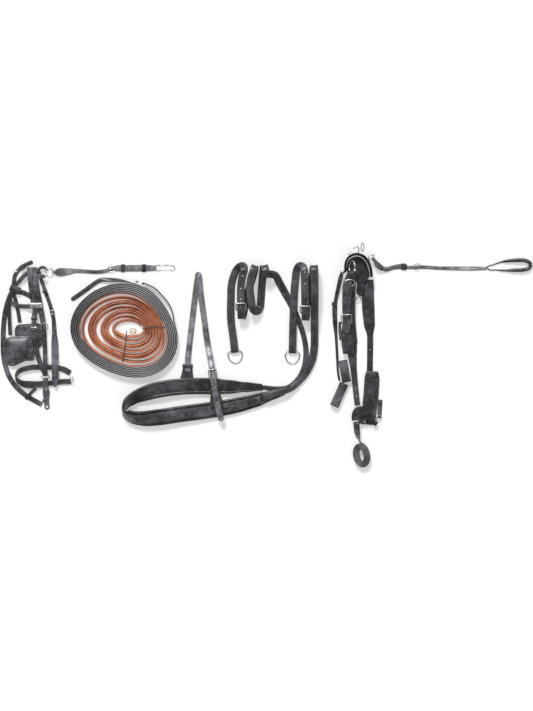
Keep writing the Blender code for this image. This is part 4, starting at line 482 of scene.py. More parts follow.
def strapPiece(node, route, width, leather, look, across=None, slots=(), tips=(False, False), name=None):
    # a flat strap: its section is carried along the route, whose fourth column is the width's share; a strap
    # that is given a name stands for no node of the frame
    route = np.asarray(route, float)
    if route.shape[1] == 3:
        route = np.column_stack([route, np.ones(len(route))])
    end = walked(route)[-1]
    rounding = width / 2 * route[[0, -1], 3].min()
    places = stationsOf(route)
    near = rounding * np.array([0, 0.02, 0.08, 0.2, 0.4, 0.7, 1])
    extra = [np.abs(side - near) for side, rounded in zip((0, end), tips) if rounded]
    places = np.unique(np.concatenate([places, *extra]))
    rows, sideways, heading = strapFrame(route, across, places)
    half = width / 2 * rows[:, 3] * tipShare(places, end, rounding, tips)
    a, b, edge = strapSection(half, leather)
    points = carried(rows, sideways, heading, a, b)
    replaced = node if name is None else None
    piece = addPiece(name or camel(node), points, gridFaces(len(rows), a.shape[1]), look,
                     nodeBody.get(node, "harness"), replaced, edge)
    if slots:
        cutThrough(piece, [slotCutter(route, across, *slot, leather) for slot in slots])


stitch = {"spacing": 0.0036, "length": 0.0026, "thick": 0.0007, "inset": 0.0030}  # about seven to the inch


def stitchRows(name, route, width, leather, across=None, start=0.0, stop=None, sides=(-1, 1), body="harness",
               inset=None, topOnly=False):
    # stitches laid along both edges: each is a thin eight-cornered bead that dips into the leather at its ends;
    # topOnly lays each on whichever face of the strap is uppermost there
    route = np.asarray(route, float)
    if route.shape[1] == 3:
        route = np.column_stack([route, np.ones(len(route))])
    stop = walked(route)[-1] if stop is None else stop
    middle = np.arange(start + stitch["spacing"], stop - stitch["spacing"], stitch["spacing"])
    if len(middle) < 2:
        return
    beads = []
    for side in sides:
        shares = np.array([-0.5, -0.3, 0.3, 0.5])
        places = (middle[:, None] + shares * stitch["length"]).ravel()
        rows, sideways, heading = strapFrame(route, across, places)
        half = width / 2 * rows[:, 3]
        away = np.maximum(half - (inset or stitch["inset"]), half * 0.3) * side
        rise = np.tile([-0.25, 0.30, 0.30, -0.25], len(middle)) * stitch["thick"] + leather / 2
        if topOnly:
            over = np.cross(heading, sideways)[:, 2] < 0
            rise = np.where(np.repeat(over[1::4], 4), -rise, rise)
        corners = np.array([(-1, -1), (1, -1), (1, 1), (-1, 1)])
        a = away[:, None] + corners[:, 0] * stitch["thick"] / 2
        b = rise[:, None] + corners[:, 1] * stitch["thick"] / 2
        beads.append(carried(rows, sideways, heading, a, b))
    points = np.vstack(beads)
    count = len(points) // 16
    one = np.array(gridFaces(4, 4)[:-2] + [[3, 2, 1, 0], [12, 13, 14, 15]])
    faces = (one[None] + 16 * np.arange(count)[:, None, None]).reshape(-1, 4).tolist()
    addPiece(name, points, faces, "waxedThread", body, sharp=80)


def ovalLoop(centre, first, second, count=40):  # a closed oval between two half-axis vectors
    turn = fullTurn * np.arange(count)[:, None] / count
    return np.asarray(centre) + np.cos(turn) * np.asarray(first) + np.sin(turn) * np.asarray(second)


def foldOver(start, stop, toward):  # a half turn from one end to another, bulging toward a way on the floor
    middle, half = (start[:3] + stop[:3]) / 2, (start[:3] - stop[:3]) / 2
    turn = np.linspace(0, math.pi, 15)[1:-1, None]
    bulge = np.array([*unitRows(toward), 0]) * np.linalg.norm(half)
    return np.hstack([middle + half * np.cos(turn) + bulge * np.sin(turn), np.full((13, 1), start[3])])


def wrapEnd(route, wire, leather):
    # carries a route that ends above a bar round it and a little way back below
    pitch = (wire + leather) / 2 + gap
    toward = unitRows(route[-1, :2] - route[-2, :2])
    centre = route[-1, :3] - [0, 0, pitch]
    turn = np.linspace(quarterTurn, -quarterTurn, 13)[1:]
    round_ = centre + pitch * np.column_stack([np.cos(turn)[:, None] * toward, np.sin(turn)])
    back = centre + [*(-toward * wrapTail * pitch), -pitch]
    ends = np.vstack([round_, back])
    return np.vstack([route, np.column_stack([ends, np.full(len(ends), route[-1, 3])])]), centre, toward


wrapTail = 2.5  # pitches that a wrapped end runs back under its strap
tongueWire, tongueGap = 0.0018, 0.0007
tongueCurl, tonguePast = math.radians(215), 0.002  # how far it curls round its bar, and past the outer bar
frameRoom = 0.0012  # between a billet's edge and the buckle's side


# Buckles whose tongues turn


def buckleAt(plan, bar, toward, level, width, span, rise=2):
    # the strap end is wrapped round the hinge bar; the billet runs over it and under the outer bar
    pitch = plan["leather"] + gap
    bar = np.asarray(bar, float)[:2]
    way = unitRows(np.asarray(toward, float)[:2] - bar)
    return {"way": way, "level": level, "rise": rise, "width": width, "span": span, "leather": plan["leather"],
            "wire": plan["leather"] / 2, "pitch": pitch, "side": np.array([way[1], -way[0], 0]),
            "hinge": np.array([*bar, levelHeight(plan, level)]),
            "tilt": math.atan2((rise + 1) * pitch, span)}


def buckleSpot(buckle, along, up):
    return buckle["hinge"] + [*(buckle["way"] * along), up]


def roundedFrame(half, span, corner, steps):  # a rectangle with round corners, from 0 to its span
    parts = []
    for k, (a, b) in enumerate(((1, 0), (1, 1), (-1, 1), (-1, 0))):
        angle = -quarterTurn + k * quarterTurn + np.linspace(0, quarterTurn, steps)
        centre = np.array([a * (half - corner), span - corner if b else corner])
        parts.append(centre + corner * np.column_stack([np.cos(angle), np.sin(angle)]))
    return np.vstack(parts)


def buckleFrame(node, buckle):
    # the frame's wire: a rectangle with round corners, in a plane that rises to the outer bar
    wire, tilt = buckle["wire"], buckle["tilt"]
    half = buckle["width"] / 2 + frameRoom + wire
    slope = np.array([*(buckle["way"] * math.cos(tilt)), math.sin(tilt)])
    reach = math.hypot(buckle["span"], (buckle["rise"] + 1) * buckle["pitch"])
    flat = roundedFrame(half, reach, 2 * wire, 6)
    path = buckle["hinge"] + flat[:, :1] * buckle["side"] + flat[:, 1:] * slope
    wirePiece(camel(node), path, wire, "nickelPlate", across=np.cross(buckle["side"], slope), closed=True,
              node=node, body=nodeBody[node])


def buckleTongue(node, buckle):
    # wire curled round the hinge bar, its straight part drawn down to a blunt point
    radius, tilt = buckle["wire"] + gap + tongueWire / 2, buckle["tilt"]
    curl = tilt + quarterTurn + np.linspace(tongueCurl, 0, 17)
    points = buckle["hinge"] + radius * np.column_stack([np.cos(curl)[:, None] * buckle["way"], np.sin(curl)])
    reach = math.hypot(buckle["span"], (buckle["rise"] + 1) * buckle["pitch"]) + tonguePast
    slope = np.array([*(buckle["way"] * math.cos(tilt)), math.sin(tilt)])
    shares = np.array([0.25, 0.6, 0.9, 1])[:, None]
    path = np.vstack([points, points[-1] + slope * reach * shares])
    thick = np.interp(np.arange(len(path)), [0, len(path) - 3, len(path) - 1], [0.9, 1, 0.75]) * tongueWire / 2
    wirePiece(camel(node), path, thick, "nickelPlate", across=buckle["side"], node=node, body=nodeBody[node])


def chapeEnd(buckle, share):  # the last points of the strap that carries the buckle, round its bar
    turn = np.linspace(quarterTurn, -quarterTurn, 13)
    pitch = buckle["pitch"]
    round_ = buckle["hinge"] + pitch * np.column_stack([np.cos(turn)[:, None] * buckle["way"], np.sin(turn)])
    ends = np.vstack([round_, buckleSpot(buckle, -wrapTail * pitch, -pitch)])
    return np.column_stack([ends, np.full(len(ends), share)])


halfSlot = tongueWire / 2 + tongueGap


def chapeSlot(buckle, route):
    end, pitch = walked(route)[-1], buckle["pitch"]
    tail, reach = wrapTail * pitch, buckle["wire"] + gap + tongueWire + 2 * tongueGap
    start, stop = end - tail - math.pi * pitch - reach, end - tail + reach
    return (start + stop) / 2, (stop - start) / 2, halfSlot


def billetSlot(buckle, route):
    pitch, rise, tilt = buckle["pitch"], buckle["rise"], buckle["tilt"]
    centre = nearestAt(route, buckleSpot(buckle, 0, rise * pitch))
    later = rowsAt(route, [centre, centre + pitch])
    sign = 1 if (later[1, :2] - later[0, :2]) @ buckle["way"] > 0 else -1
    above = rise * pitch + buckle["leather"] / 2 + tongueWire / 2
    radius = buckle["wire"] + gap + tongueWire / 2
    far = (above - radius * math.cos(tilt)) / math.tan(tilt) - radius * math.sin(tilt)
    near = -(radius + tongueWire / 2 + 3 * tongueGap)
    far += tongueWire / 2 + 2 * tongueGap
    return centre + sign * (near + far) / 2, (far - near) / 2, halfSlot + tongueGap / 4


def punched(route, place, size=0.004):  # a hole at the place on a strap nearest a spot
    return nearestAt(route, place), size / 2, size / 2


def dRing(node, centre, toward, halfWidth, depth, wire):
    # a D hung by its bar and tipped down until its bow lies on the floor
    tip = math.asin((centre[2] - wire / 2) / depth)
    side = np.array([-toward[1], toward[0], 0])
    down = np.array([*(toward * math.cos(tip)), -math.sin(tip)])
    flat = dOutline(halfWidth, depth, 2 * wire)
    path = centre + flat[:, :1] * side - flat[:, 1:] * down
    wirePiece(camel(node), path, wire / 2, "nickelPlate", across=np.cross(side, down), closed=True, node=node,
              body=nodeBody[node])


def flatD(node, bar, way, halfWidth, depth, corner, wire):  # a D that lies flat, hung by its bar
    flat = dOutline(halfWidth, depth, corner)
    path = bar + flat[:, :1] * np.array([-way[1], way[0], 0]) - flat[:, 1:] * [*way, 0]
    wirePiece(camel(node), path, wire / 2, "nickelPlate", across=(0, 0, 1), closed=True, node=node)


def dOutline(halfWidth, depth, corner):  # a straight bar at the top and a round bow below it
    turn = np.linspace(0, -math.pi, 29)
    bow = np.column_stack([halfWidth * np.cos(turn), -corner + (depth - corner) * np.sin(turn)])
    return np.vstack([[(-halfWidth + corner, 0), (halfWidth - corner, 0)], bow])


# Small fittings that only the look needs


def withHeights(rings, heights):  # rings of places on the floor, each lifted to its height
    lifted = np.broadcast_to(heights[:, None, None], rings.shape[:2] + (1,))
    return np.concatenate([rings, lifted], axis=2).reshape(-1, 3)


# the highest point of the pieces so far, within reach of a picture place
def topAt(plan, place, reach=0.006):
    points = np.vstack(laid)
    near = np.linalg.norm(points[:, :2] - spot(plan, place), axis=1) < reach
    return points[near, 2].max(initial=0.0)


domeFoot, domeSunk = 0.0006, 0.0004  # how far a dome's edge stands proud of the leather, and goes into it


def stud(name, plan, place, radius, look="nickelPlate", high=0.5, ring=0.0):
    # a low dome: height = high * radius * sqrt(1 - share^2), with a flat collar of width ring round it
    base = topAt(plan, place, 0.005)
    sides = 20
    turn = fullTurn * np.arange(sides) / sides
    share = np.array([0.1, 0.35, 0.6, 0.8, 0.93, 1.0])
    rise = np.concatenate([high * radius * np.sqrt(1 - share**2) + domeFoot, [domeFoot, -domeSunk, -domeSunk]])
    wide = np.concatenate([share * radius, [radius + ring, radius + ring, 0.1 * radius]])
    flat = spot(plan, place) + wide[:, None, None] * np.column_stack([np.cos(turn), np.sin(turn)])
    points = withHeights(flat, base + rise)
    faces = [face[::-1] for face in gridFaces(len(wide), len(turn))]
    addPiece(name, points, faces, look)


def bow(name, plan, table, wire, lift):
    # a line of bent wire through picture places, lying on what stands as high as the lift
    rows = smoothRoute(atLift(plan, table, lift + wire / 2))
    rows = rowsAt(rows, stationsOf(rows, 0.002, math.radians(12)))
    wirePiece(name, rows, wire / 2, "nickelPlate", across=(0, 0, 1))


def plainBuckle(name, plan, bar, outer, lift, width, wire=0.0022, look="nickelPlate", body="harness",
                tongue=True):
    # a flat buckle lying on a strap: a round-cornered frame of wire between two picture places, with its tongue
    bar, outer = (np.array([*spot(plan, place), lift]) for place in (bar, outer))
    way = unitRows(outer - bar)
    side = np.array([way[1], -way[0], 0])
    span = np.linalg.norm(outer - bar)
    loop = roundedFrame(width / 2 + wire, span, 1.8 * wire, 5)
    path = bar + loop[:, :1] * side + loop[:, 1:] * way
    wirePiece(name, path, wire / 2, look, across=(0, 0, 1), closed=True, body=body)
    if tongue:
        shares = np.linspace(0, 1, 7)
        ridge = bar + (shares * span)[:, None] * way
        ridge[:, 2] += wire * (0.75 + 0.35 * np.sin(math.pi * shares))
        wirePiece(name + "Tongue", ridge, wire * 0.42, look, across=side, body=body)


keeperFit = {"thick": 0.0016, "beside": 0.0005, "above": 0.0003, "floor": 0.0002}


def keeper(name, route, centre, width, leather, long=0.009, body="harness", over=0.0):
    # a leather loop round a strap: its section is a round-cornered box whose wall bulges in the middle
    half, room = width / 2 + keeperFit["beside"], leather / 2 + keeperFit["above"]
    low, high = -room, room + over
    shares = np.array([-0.5, -0.44, -0.2, 0.2, 0.44, 0.5])
    reach = np.array([0.55, 0.95, 1.1, 1.1, 0.95, 0.55])
    rows, sideways, heading = strapFrame(route, None, centre + shares * long)
    angle = np.linspace(0, quarterTurn, 4)
    turns = np.concatenate([angle + k * quarterTurn for k in range(4)])
    corners = np.repeat([(half, high), (-half, high), (-half, low), (half, low)], 4, axis=0)
    outward = np.column_stack([np.cos(turns), np.sin(turns)])
    wall = outward * keeperFit["thick"] * reach[:, None, None]
    rings = np.concatenate([corners + wall, np.tile(corners, (2, 1, 1))])
    order = [0, 1, 2, 3, 4, 5, 5, 0]
    points = carried(rows[order], sideways[order], heading[order], rings[..., 0], rings[..., 1])
    points[:, 2] = np.maximum(points[:, 2], keeperFit["floor"])
    return addPiece(name, points, gridFaces(len(order), len(turns), closed=True), "blackLeather", body,
                    sharp=55)


def plateAt(name, plan, corners, lift, thick, body="harness", dome=0.0006):
    # a small plate with round corners inside four picture places, standing proud by its thickness
    spots = np.array([spot(plan, corner) for corner in corners])
    middle = spots.mean(axis=0)
    turn = np.linspace(0, quarterTurn, 5)
    a, b = (spots[1] - spots[0]) / 2, (spots[3] - spots[0]) / 2
    corner = 0.3 * min(np.linalg.norm(a), np.linalg.norm(b))
    loop = []
    for k, (x, y) in enumerate(((1, 1), (-1, 1), (-1, -1), (1, -1))):
        angle = k * quarterTurn + turn
        loop.append(middle + x * a + y * b - corner * (x * unitRows(a) + y * unitRows(b))
                    + corner * (np.cos(angle)[:, None] * unitRows(a) + np.sin(angle)[:, None] * unitRows(b)))
    panel(name, np.vstack(loop), lift, thick, "nickelPlate", dome=dome, body=body)


def panel(name, outline, base, thick, look, dome=0.0, body="harness", node=None, groove=None, rim=0.0012,
          pad=0.0):
    # point = middle + (outline - middle) * share, raised by dome * (1 - share^2); the top edge is rounded,
    # and a pressed line runs round at the share groove; pad swells the top between the middle and the edge
    outline = np.asarray(outline, float)[:, :2]
    middle = outline.mean(axis=0)
    x, y = (outline - middle).T
    if (x * np.roll(y, -1) - np.roll(x, -1) * y).sum() < 0:
        outline = outline[::-1]
    size = np.linalg.norm(outline - middle, axis=1).mean()
    bevel = min(rim, thick / 2) / size
    shares = [0.12, 0.3, 0.5, 0.66, 0.78]
    shares += [groove - 0.022, groove - 0.008, groove, groove + 0.008, groove + 0.022] if groove else [0.86]
    shares = np.array([s for s in shares if s < 1 - 1.6 * bevel])
    top = np.concatenate([shares, 1 - bevel * np.array([1, 0.62, 0.29, 0.08, 0])])
    drop = np.concatenate([np.zeros(len(shares)), min(rim, thick / 2) * np.array([0, 0.08, 0.29, 0.62, 1])])
    if groove:
        drop += 0.0007 * np.exp(-((top - groove) / 0.010) ** 2)
    swell = pad * (1 - top**2) ** 0.5
    low = np.array([1, 1 - bevel, 0.8, 0.5, 0.12])
    lowLift = np.array([min(rim, thick / 2), 0, 0, 0, 0])
    share = np.concatenate([top, low])
    z = np.concatenate([base + thick - drop + dome * (1 - top**2) + swell,
                        base + lowLift + dome * (1 - low**2)])
    flat = middle + (outline - middle) * share[:, None, None]
    edge = np.broadcast_to(np.clip((share - 0.9) / 0.1, 0, 1)[:, None] ** 2, flat.shape[:2])
    faces = [face[::-1] for face in gridFaces(len(share), len(outline))]
    return addPiece(name, withHeights(flat, z), faces, look, body, node, edge, sharp=45)


def paddedSection():
    # rolls along both edges and a flat between them, with a sewn channel beside each roll
    u = np.concatenate([np.linspace(0, 0.5, 4), [0.56, 0.60, 0.64, 0.70, 0.80, 0.88, 0.94, 0.98, 1.0]])
    roll = np.sqrt(np.clip(1 - ((u - 0.8) / 0.2) ** 2, 0, 1))
    flat = 0.74 - 0.16 * np.exp(-((u - 0.6) / 0.03) ** 2)
    rise = np.where(u < 0.6, flat, np.where(u < 0.8, 0.58 + 0.42 * roll, roll))
    return np.concatenate([u[::-1], -u[1:]]), np.concatenate([rise[::-1], rise[1:]])


# Camera, floor and light

floorHalf = 10  # metres, far past the picture's edges
view = {"lens": 100.0, "sensor": 36.0, "pixel": 0.003295, "centre": (0.0005, 0.0038), "high": 711}
camera = bpy.data.cameras.new("camera")
camera.lens, camera.sensor_width = view["lens"], view["sensor"]
camera.clip_end = 30
cameraObject = bpy.data.objects.new("camera", camera)
cameraObject.location = (*view["centre"], view["high"] * view["pixel"] * view["lens"] / view["sensor"])
bpy.context.scene.collection.objects.link(cameraObject)
bpy.context.scene.camera = cameraObject

light = {"sky": 0.42, "key": 2.6, "fill": 0.4, "floor": 0.60, "lowWall": 0.12, "highWall": 1.1}


def addSun(name, strength, angle, tilt, heading):
    lamp = bpy.data.lights.new(name, "SUN")
    lamp.energy, lamp.angle = strength, math.radians(angle)
    sun = bpy.data.objects.new(name, lamp)
    sun.rotation_euler = (math.radians(tilt), 0, math.radians(heading))
    bpy.context.scene.collection.objects.link(sun)


addSun("keyLight", light["key"], 14, 48, 196)
addSun("fillLight", light["fill"], 60, 50, 30)


def seenDirectly(tree):  # 1 where the camera, a mirror or a glass looks straight at the surface, else 0
    path = addNode(tree, "ShaderNodeLightPath")
    seen = addNode(tree, "ShaderNodeMath", {"operation": "MAXIMUM"},
                   {0: (path, "Is Camera Ray"), 1: (path, "Is Glossy Ray")})
    return addNode(tree, "ShaderNodeMath", {"operation": "MAXIMUM"},
                   {0: (seen, "Value"), 1: (path, "Is Transmission Ray")})


world = bpy.data.worlds.new("paleRoom")
bpy.context.scene.world = world
world.use_nodes = True
skyTree = world.node_tree
sky = skyTree.nodes["Background"]
sky.inputs["Color"].default_value = (1, 1, 1, 1)
skyPath = addNode(skyTree, "ShaderNodeLightPath")
skyWay = addNode(skyTree, "ShaderNodeTexCoord")
skySides = addNode(skyTree, "ShaderNodeSeparateXYZ", {}, {"Vector": (skyWay, "Generated")})
# gloss shows a room with a wide window behind the picture's top edge and a darker wall opposite
mirrored = addNode(skyTree, "ShaderNodeMapRange", {"From Min": -0.45, "From Max": 0.75,
                                                   "To Min": light["lowWall"], "To Max": light["highWall"]},
                   {"Value": (skySides, "Y")})
direct = addNode(skyTree, "ShaderNodeMath", {"operation": "MAXIMUM"},
                 {0: (skyPath, "Is Camera Ray"), 1: (skyPath, "Is Transmission Ray")})
lit = addNode(skyTree, "ShaderNodeMix", {2: light["sky"]},
              {0: (skyPath, "Is Glossy Ray"), 3: (mirrored, "Result")})
strength = addNode(skyTree, "ShaderNodeMix", {3: 1.0}, {0: (direct, "Value"), 2: (lit, 0)})
skyTree.links.new(strength.outputs[0], sky.inputs["Strength"])

floorLook, floorTree, floorShader = newLook("paleFloor")
floorShader.inputs["Base Color"].default_value = (light["floor"],) * 3 + (1,)
floorShader.inputs["Roughness"].default_value = 0.9
floorShader.inputs["Specular IOR Level"].default_value = 0.0
floorShader.inputs["Emission Color"].default_value = (1, 1, 1, 1)
lift = addNode(floorTree, "ShaderNodeMath", {"operation": "MULTIPLY", 1: 1 - light["floor"]},
               {0: (seenDirectly(floorTree), "Value")})
floorTree.links.new(lift.outputs["Value"], floorShader.inputs["Emission Strength"])
floorMesh = bpy.data.meshes.new("floor")
floorCorners = [(x * floorHalf, y * floorHalf, 0) for x, y in ((-1, -1), (1, -1), (1, 1), (-1, 1))]
floorMesh.from_pydata(floorCorners, [], [(0, 1, 2, 3)])
floorMesh.materials.append(floorLook)
floorObject = bpy.data.objects.new("floor", floorMesh)
bpy.context.scene.collection.objects.link(floorObject)
print("camera, floor and lights set")


# The reins: two black straps coiled on edge, with their russet hand parts inside

rein = {
    "width": 0.022, "endWidth": 0.015, "leather": 0.0036, "handWidth": 0.017, "handLeather": 0.0034,
    "coilPx": (124.8, 330.7), "sizePx": (108.2, 96.6), "russetLayers": 9, "turnPoints": 48,
    "apart": 0.0022, "lean": 0.063, "corner": 0.035, "cornerAngle": math.radians(12),
    "holePx": (129.5, 329), "holeSizePx": (27, 15),
    "starts": (-4.9 * math.pi, -5.9 * math.pi), "freeAngle": 0.44 * math.pi, "looseAngle": 0.06 * math.pi,
    "handApart": 0.006, "handLean": math.radians(31), "leanLayers": 1.6, "handWave": 0.005,
    "bunch": (0.24, 0.19), "bunchLayers": 3,
    "freePx": ((122.5, 281.3), (110, 280.5), (100.5, 280.8), (96, 283.2), (91, 286.8), (84, 292),
               (71.5, 300.7)),
    "loosePx": ((172.4, 311), (168.3, 303), (162, 295.4), (155.5, 289), (149, 285.6), (143.7, 283.6)),
    "tie": 0.003, "tieLift": 0.017 + 0.002,
    "tiesPx": {"reinTieRight": ((143, 329.6), (152, 327.6), (165.4, 327.8)),
               "reinTieLow": ((127.4, 331.4), (126.2, 343), (123.2, 363))},
}
coilPixel = 0.356 / rein["sizePx"][0]
coilCentre = np.array([spot(bridlePlan, (59, 268))[0] + 0.038 + 0.178,
                       spot(checkPlan, (47, 277))[1] - 0.016 - coilPixel * rein["sizePx"][1] / 2])
coilPlan = makePlan(coilPixel, rein["coilPx"], coilCentre, rein["leather"])
coilSize = coilPixel * np.array(rein["sizePx"])


def coilOutline(turn):  # an ellipse leaned over and drawn out at three corners
    corners = rein["corner"] * np.cos(3 * (turn - rein["cornerAngle"]))
    share = (1 - rein["lean"] * np.sin(2 * turn) - corners) / 2
    return coilCentre + coilSize * share[:, None] * np.column_stack([np.cos(turn), np.sin(turn)])


def coilInward(turn):
    step = math.radians(1)
    along = unitRows(coilOutline(turn + step) - coilOutline(turn - step))
    return np.column_stack([-along[:, 1], along[:, 0]])


def blackTurns(first, start, stop):  # layers are counted inwards from where the outer one leaves
    count = round((stop - start) / fullTurn * rein["turnPoints"])
    turn = start + fullTurn / rein["turnPoints"] * np.arange(count + 1)
    layer = first + 2 * (rein["looseAngle"] - turn) / fullTurn
    depth = rein["leather"] / 2 + (rein["leather"] + rein["apart"]) * layer
    flat = coilOutline(turn) + coilInward(turn) * depth[:, None]
    return np.column_stack([flat, np.full(len(turn), rein["width"] / 2)])


def russetTurns(start):  # the hand part leans out a little, and its turns bunch on the way to the oval hole
    layers = rein["russetLayers"]
    depth = 1 + (rein["looseAngle"] - rein["starts"][0]) / math.pi
    depth = rein["leather"] / 2 + (rein["leather"] + rein["apart"]) * depth
    gone = fullTurn / rein["turnPoints"] * np.arange(layers * rein["turnPoints"] // 2 + 1)
    gone[0] = rein["handApart"]
    turn, layer = start - gone, gone / math.pi
    outer = coilOutline(turn) + coilInward(turn) * depth
    hole = coilPixel * np.array(rein["holeSizePx"]) / 2
    inner = spot(coilPlan, rein["holePx"]) + np.column_stack([hole[0] * np.cos(turn), hole[1] * np.sin(turn)])
    bunch = rein["bunch"][0] - rein["bunch"][1] * np.cos(turn)
    bunch = bunch * np.sin(layer * fullTurn / rein["bunchLayers"])
    share = (layer - bunch) / layers
    toward = unitRows(np.column_stack([np.cos(turn), np.sin(turn)]))
    wave = rein["handWave"] * np.sin(2 * turn + turn / 5) * share * (1 - share)
    flat = outer + (inner - outer) * share[:, None] + toward * wave[:, None]
    lean = eased(0, rein["handLean"], np.clip(layer / rein["leanLayers"], 0, 1))
    height = (rein["handWidth"] * np.cos(lean) + rein["handLeather"] * np.sin(lean)) / 2
    return np.column_stack([flat, height]), np.column_stack([toward * np.sin(lean)[:, None], np.cos(lean)])


for node, outer, start, stop, tail, lift, flattened in (
        ("near_rein", 1, rein["starts"][0], rein["freeAngle"], rein["freePx"], rein["endWidth"] / 2, True),
        ("far_rein", 0, rein["starts"][1], rein["looseAngle"], rein["loosePx"], rein["width"] / 2, False)):
    turns = blackTurns(outer, start, stop)
    tail = atLift(coilPlan, tail, lift)
    route = np.vstack([turns, smoothRoute(np.vstack([turns[-1:], tail]))[1:]])
    along = walked(route)
    rolled = np.clip((along - walked(turns)[-1]) / (along[-1] - walked(turns)[-1]) * 1.6, 0, 1)
    rolled = eased(0, 1, rolled) if flattened else np.zeros(len(route))
    angle = quarterTurn * (1 - rolled)
    across = rolledSides(headingsOf(route), angle)
    narrow = 1 - (1 - rein["endWidth"] / rein["width"]) * np.clip(rolled * 1.5, 0, 1)
    height = rein["width"] / 2 * narrow * np.sin(angle) + rein["leather"] / 2 * np.cos(angle)
    route = np.column_stack([route[:, :2], height, narrow])
    strapPiece(node, route, rein["width"], rein["leather"], "blackLeather", across=across, tips=(False, True))
for node, start in zip(("near_hand_part", "far_hand_part"), rein["starts"]):
    route, across = russetTurns(start)
    strapPiece(node, route, rein["handWidth"], rein["handLeather"], "russetLeather", across=across)
for name, table in rein["tiesPx"].items():
    rows = smoothRoute(atLift(coilPlan, table, rein["tieLift"]))
    wirePiece(name, rowsAt(rows, stationsOf(rows, 0.004)), rein["tie"] / 2, "blackLeather", across=(0, 0, 1),
              sides=10)
plainBuckle("joiningBuckle", coilPlan, (131.2, 331.4), (136.2, 332.8), rein["handWidth"] * 0.72, 0.012,
            wire=0.0026, look="castBrass")
stud("reinStud", coilPlan, (143.7, 284.4), 0.0042, look="blackLeather", high=0.6)
plateAt("reinPlate", coilPlan, ((136, 283.2), (139.2, 283.8), (139.4, 281.6), (136.2, 281)),
        rein["width"] + 0.0004, 0.0012)
print("reins made")


# The breast collar, neck strap and traces

collar = {
    "width": 0.055, "pad": 0.010, "leather": 0.0035, "strapWidth": 0.034, "strapGap": 0.0008,
    "leans": (math.radians(52), math.radians(9)), "bendReach": 0.14, "bendPx": (125, 408),
    "px": ((284, 391.6, 0, 0.42), (272.5, 394.8, 0, 0.6), (255, 400.6, 0, 0.82), (235, 405.5, 0, 0.95),
           (208, 410.3, 0, 1), (180, 414, 0, 1), (158, 417.2, 0, 1), (142, 418.3, 0, 1),
           (131.5, 416.6, 0, 1), (125, 411.5, 0, 1), (126.5, 404.2, 0, 1), (133.5, 398.2, 0, 1),
           (144, 393.6, 0, 1), (160, 389.2, 0, 1), (178, 386.8, 0, 1), (195, 386, 0, 1), (212, 386.2, 0, 1),
           (228, 386.8, 0, 0.86), (245, 387, 0, 0.62), (262, 387.2, 0, 0.42)),
    "strapEndsPx": ((259.5, 399), (246, 387)),
    "neckWidth": 0.020, "neckSpan": 0.034, "footWidth": 0.044,
    "barPx": (213.2, 379.6), "outerBarPx": (211.9, 368.8),
    "neckFarPx": ((187.3, 371.5, 1, 1), (187.6, 360, 1, 1), (188.8, 348, 0, 1), (192, 320, 0, 1),
                  (195.6, 290, 0, 1), (197.6, 276, 0, 1)),
    "neckNearPx": ((198.6, 276, 2, 1), (200, 290, 1, 1), (204, 320, 0, 1), (207.5, 345, 2, 1),
                   (210, 358, 6, 1), (212, 369, 9, 1), (213.5, 381, 9, 1), (215.5, 395, 9, 1),
                   (218, 407.5, 8, 1), (221.5, 421, 6.2, 1)),
    "neckHolesPx": ((209.2, 351.5), (188.3, 352), (189.6, 341)),
    "nearTugPx": ((216.6, 407, 6.6, 1), (216.2, 402, 6.8, 0.94), (214.8, 391, 7.8, 0.66)),
    "farTugPx": ((187.4, 364, 0, 0.6), (187.1, 371, 0, 0.8), (186.6, 379, 0, 1), (186.4, 383.5, 0.3, 1)),
}


def bandRoute(plan, table, bendPx, leans, width, depth, outerReach=0.0, outerWidth=0.0):
    # the middle of a padded band: it leans up where it bends and lies nearly flat along both sides
    table = np.asarray(table, float)
    rows = np.column_stack([spot(plan, table), table[:, 2] * (plan["leather"] + gap), table[:, 3]])
    flat = smoothRoute(rows)
    raised = flat[:, 2].copy()
    flat[:, 2] = 0
    along = walked(flat)
    bend = nearestAt(flat, spot(plan, bendPx))
    near = np.clip(np.abs(along - bend) / (along[-1] * collar["bendReach"]), 0, 1)
    lean = eased(leans[0], leans[1], near)
    across = np.column_stack([np.zeros(len(flat)), np.cos(lean), np.sin(lean)])
    outward = -unitRows(np.cross(headingsOf(flat), across))
    lowest = width / 2 * flat[:, 3] * np.sin(lean) + depth / 2 * np.abs(outward[:, 2])
    outer = outerWidth / 2 * np.sin(lean) - (depth / 2 + outerReach) * outward[:, 2]
    height = np.maximum(lowest, outer) if outerReach else lowest
    for pick in (np.max, np.mean):
        windows = np.lib.stride_tricks.sliding_window_view(np.pad(height, 24, "edge"), 49)
        height = pick(windows, axis=1)
    flat[:, 2] = height + raised + gap
    return flat, across, -unitRows(np.cross(headingsOf(flat), across))


def bandPiece(node, route, across, width, depth, look):
    # the padded section carried along the route, drawn in at both ends
    places = stationsOf(route, 0.006, math.radians(6))
    rows = rowsAt(route, places)
    sideways = columnsAt(across, walked(route), places)
    a, b = paddedSection()
    inward = np.clip(np.minimum(places, places[-1] - places) / (depth / 2), 0, 1)
    close = domed(inward, blunt["band"])[:, None]
    ripple = 1 + 0.05 * np.sin(places / 0.011 + np.sin(places / 0.037))[:, None] * (np.abs(a) < 0.97)
    upper = np.stack([a * rows[:, 3:] * width / 2, b * close * ripple * depth / 2], axis=-1)
    lower = np.stack([a * rows[:, 3:] * width / 2, -b * close * depth / 2], axis=-1)
    ring = np.concatenate([upper, lower[:, -2:0:-1]], axis=1)
    heading = headingsOf(rows)
    sideways = unitRows(sideways - heading * (sideways * heading).sum(axis=1, keepdims=True))
    points = carried(rows, sideways, heading, ring[..., 0], ring[..., 1])
    points[:, 2] = np.maximum(points[:, 2], gap)
    piece = addPiece(camel(node), points, gridFaces(len(rows), ring.shape[1]), look, nodeBody[node],
                     node, sharp=60)


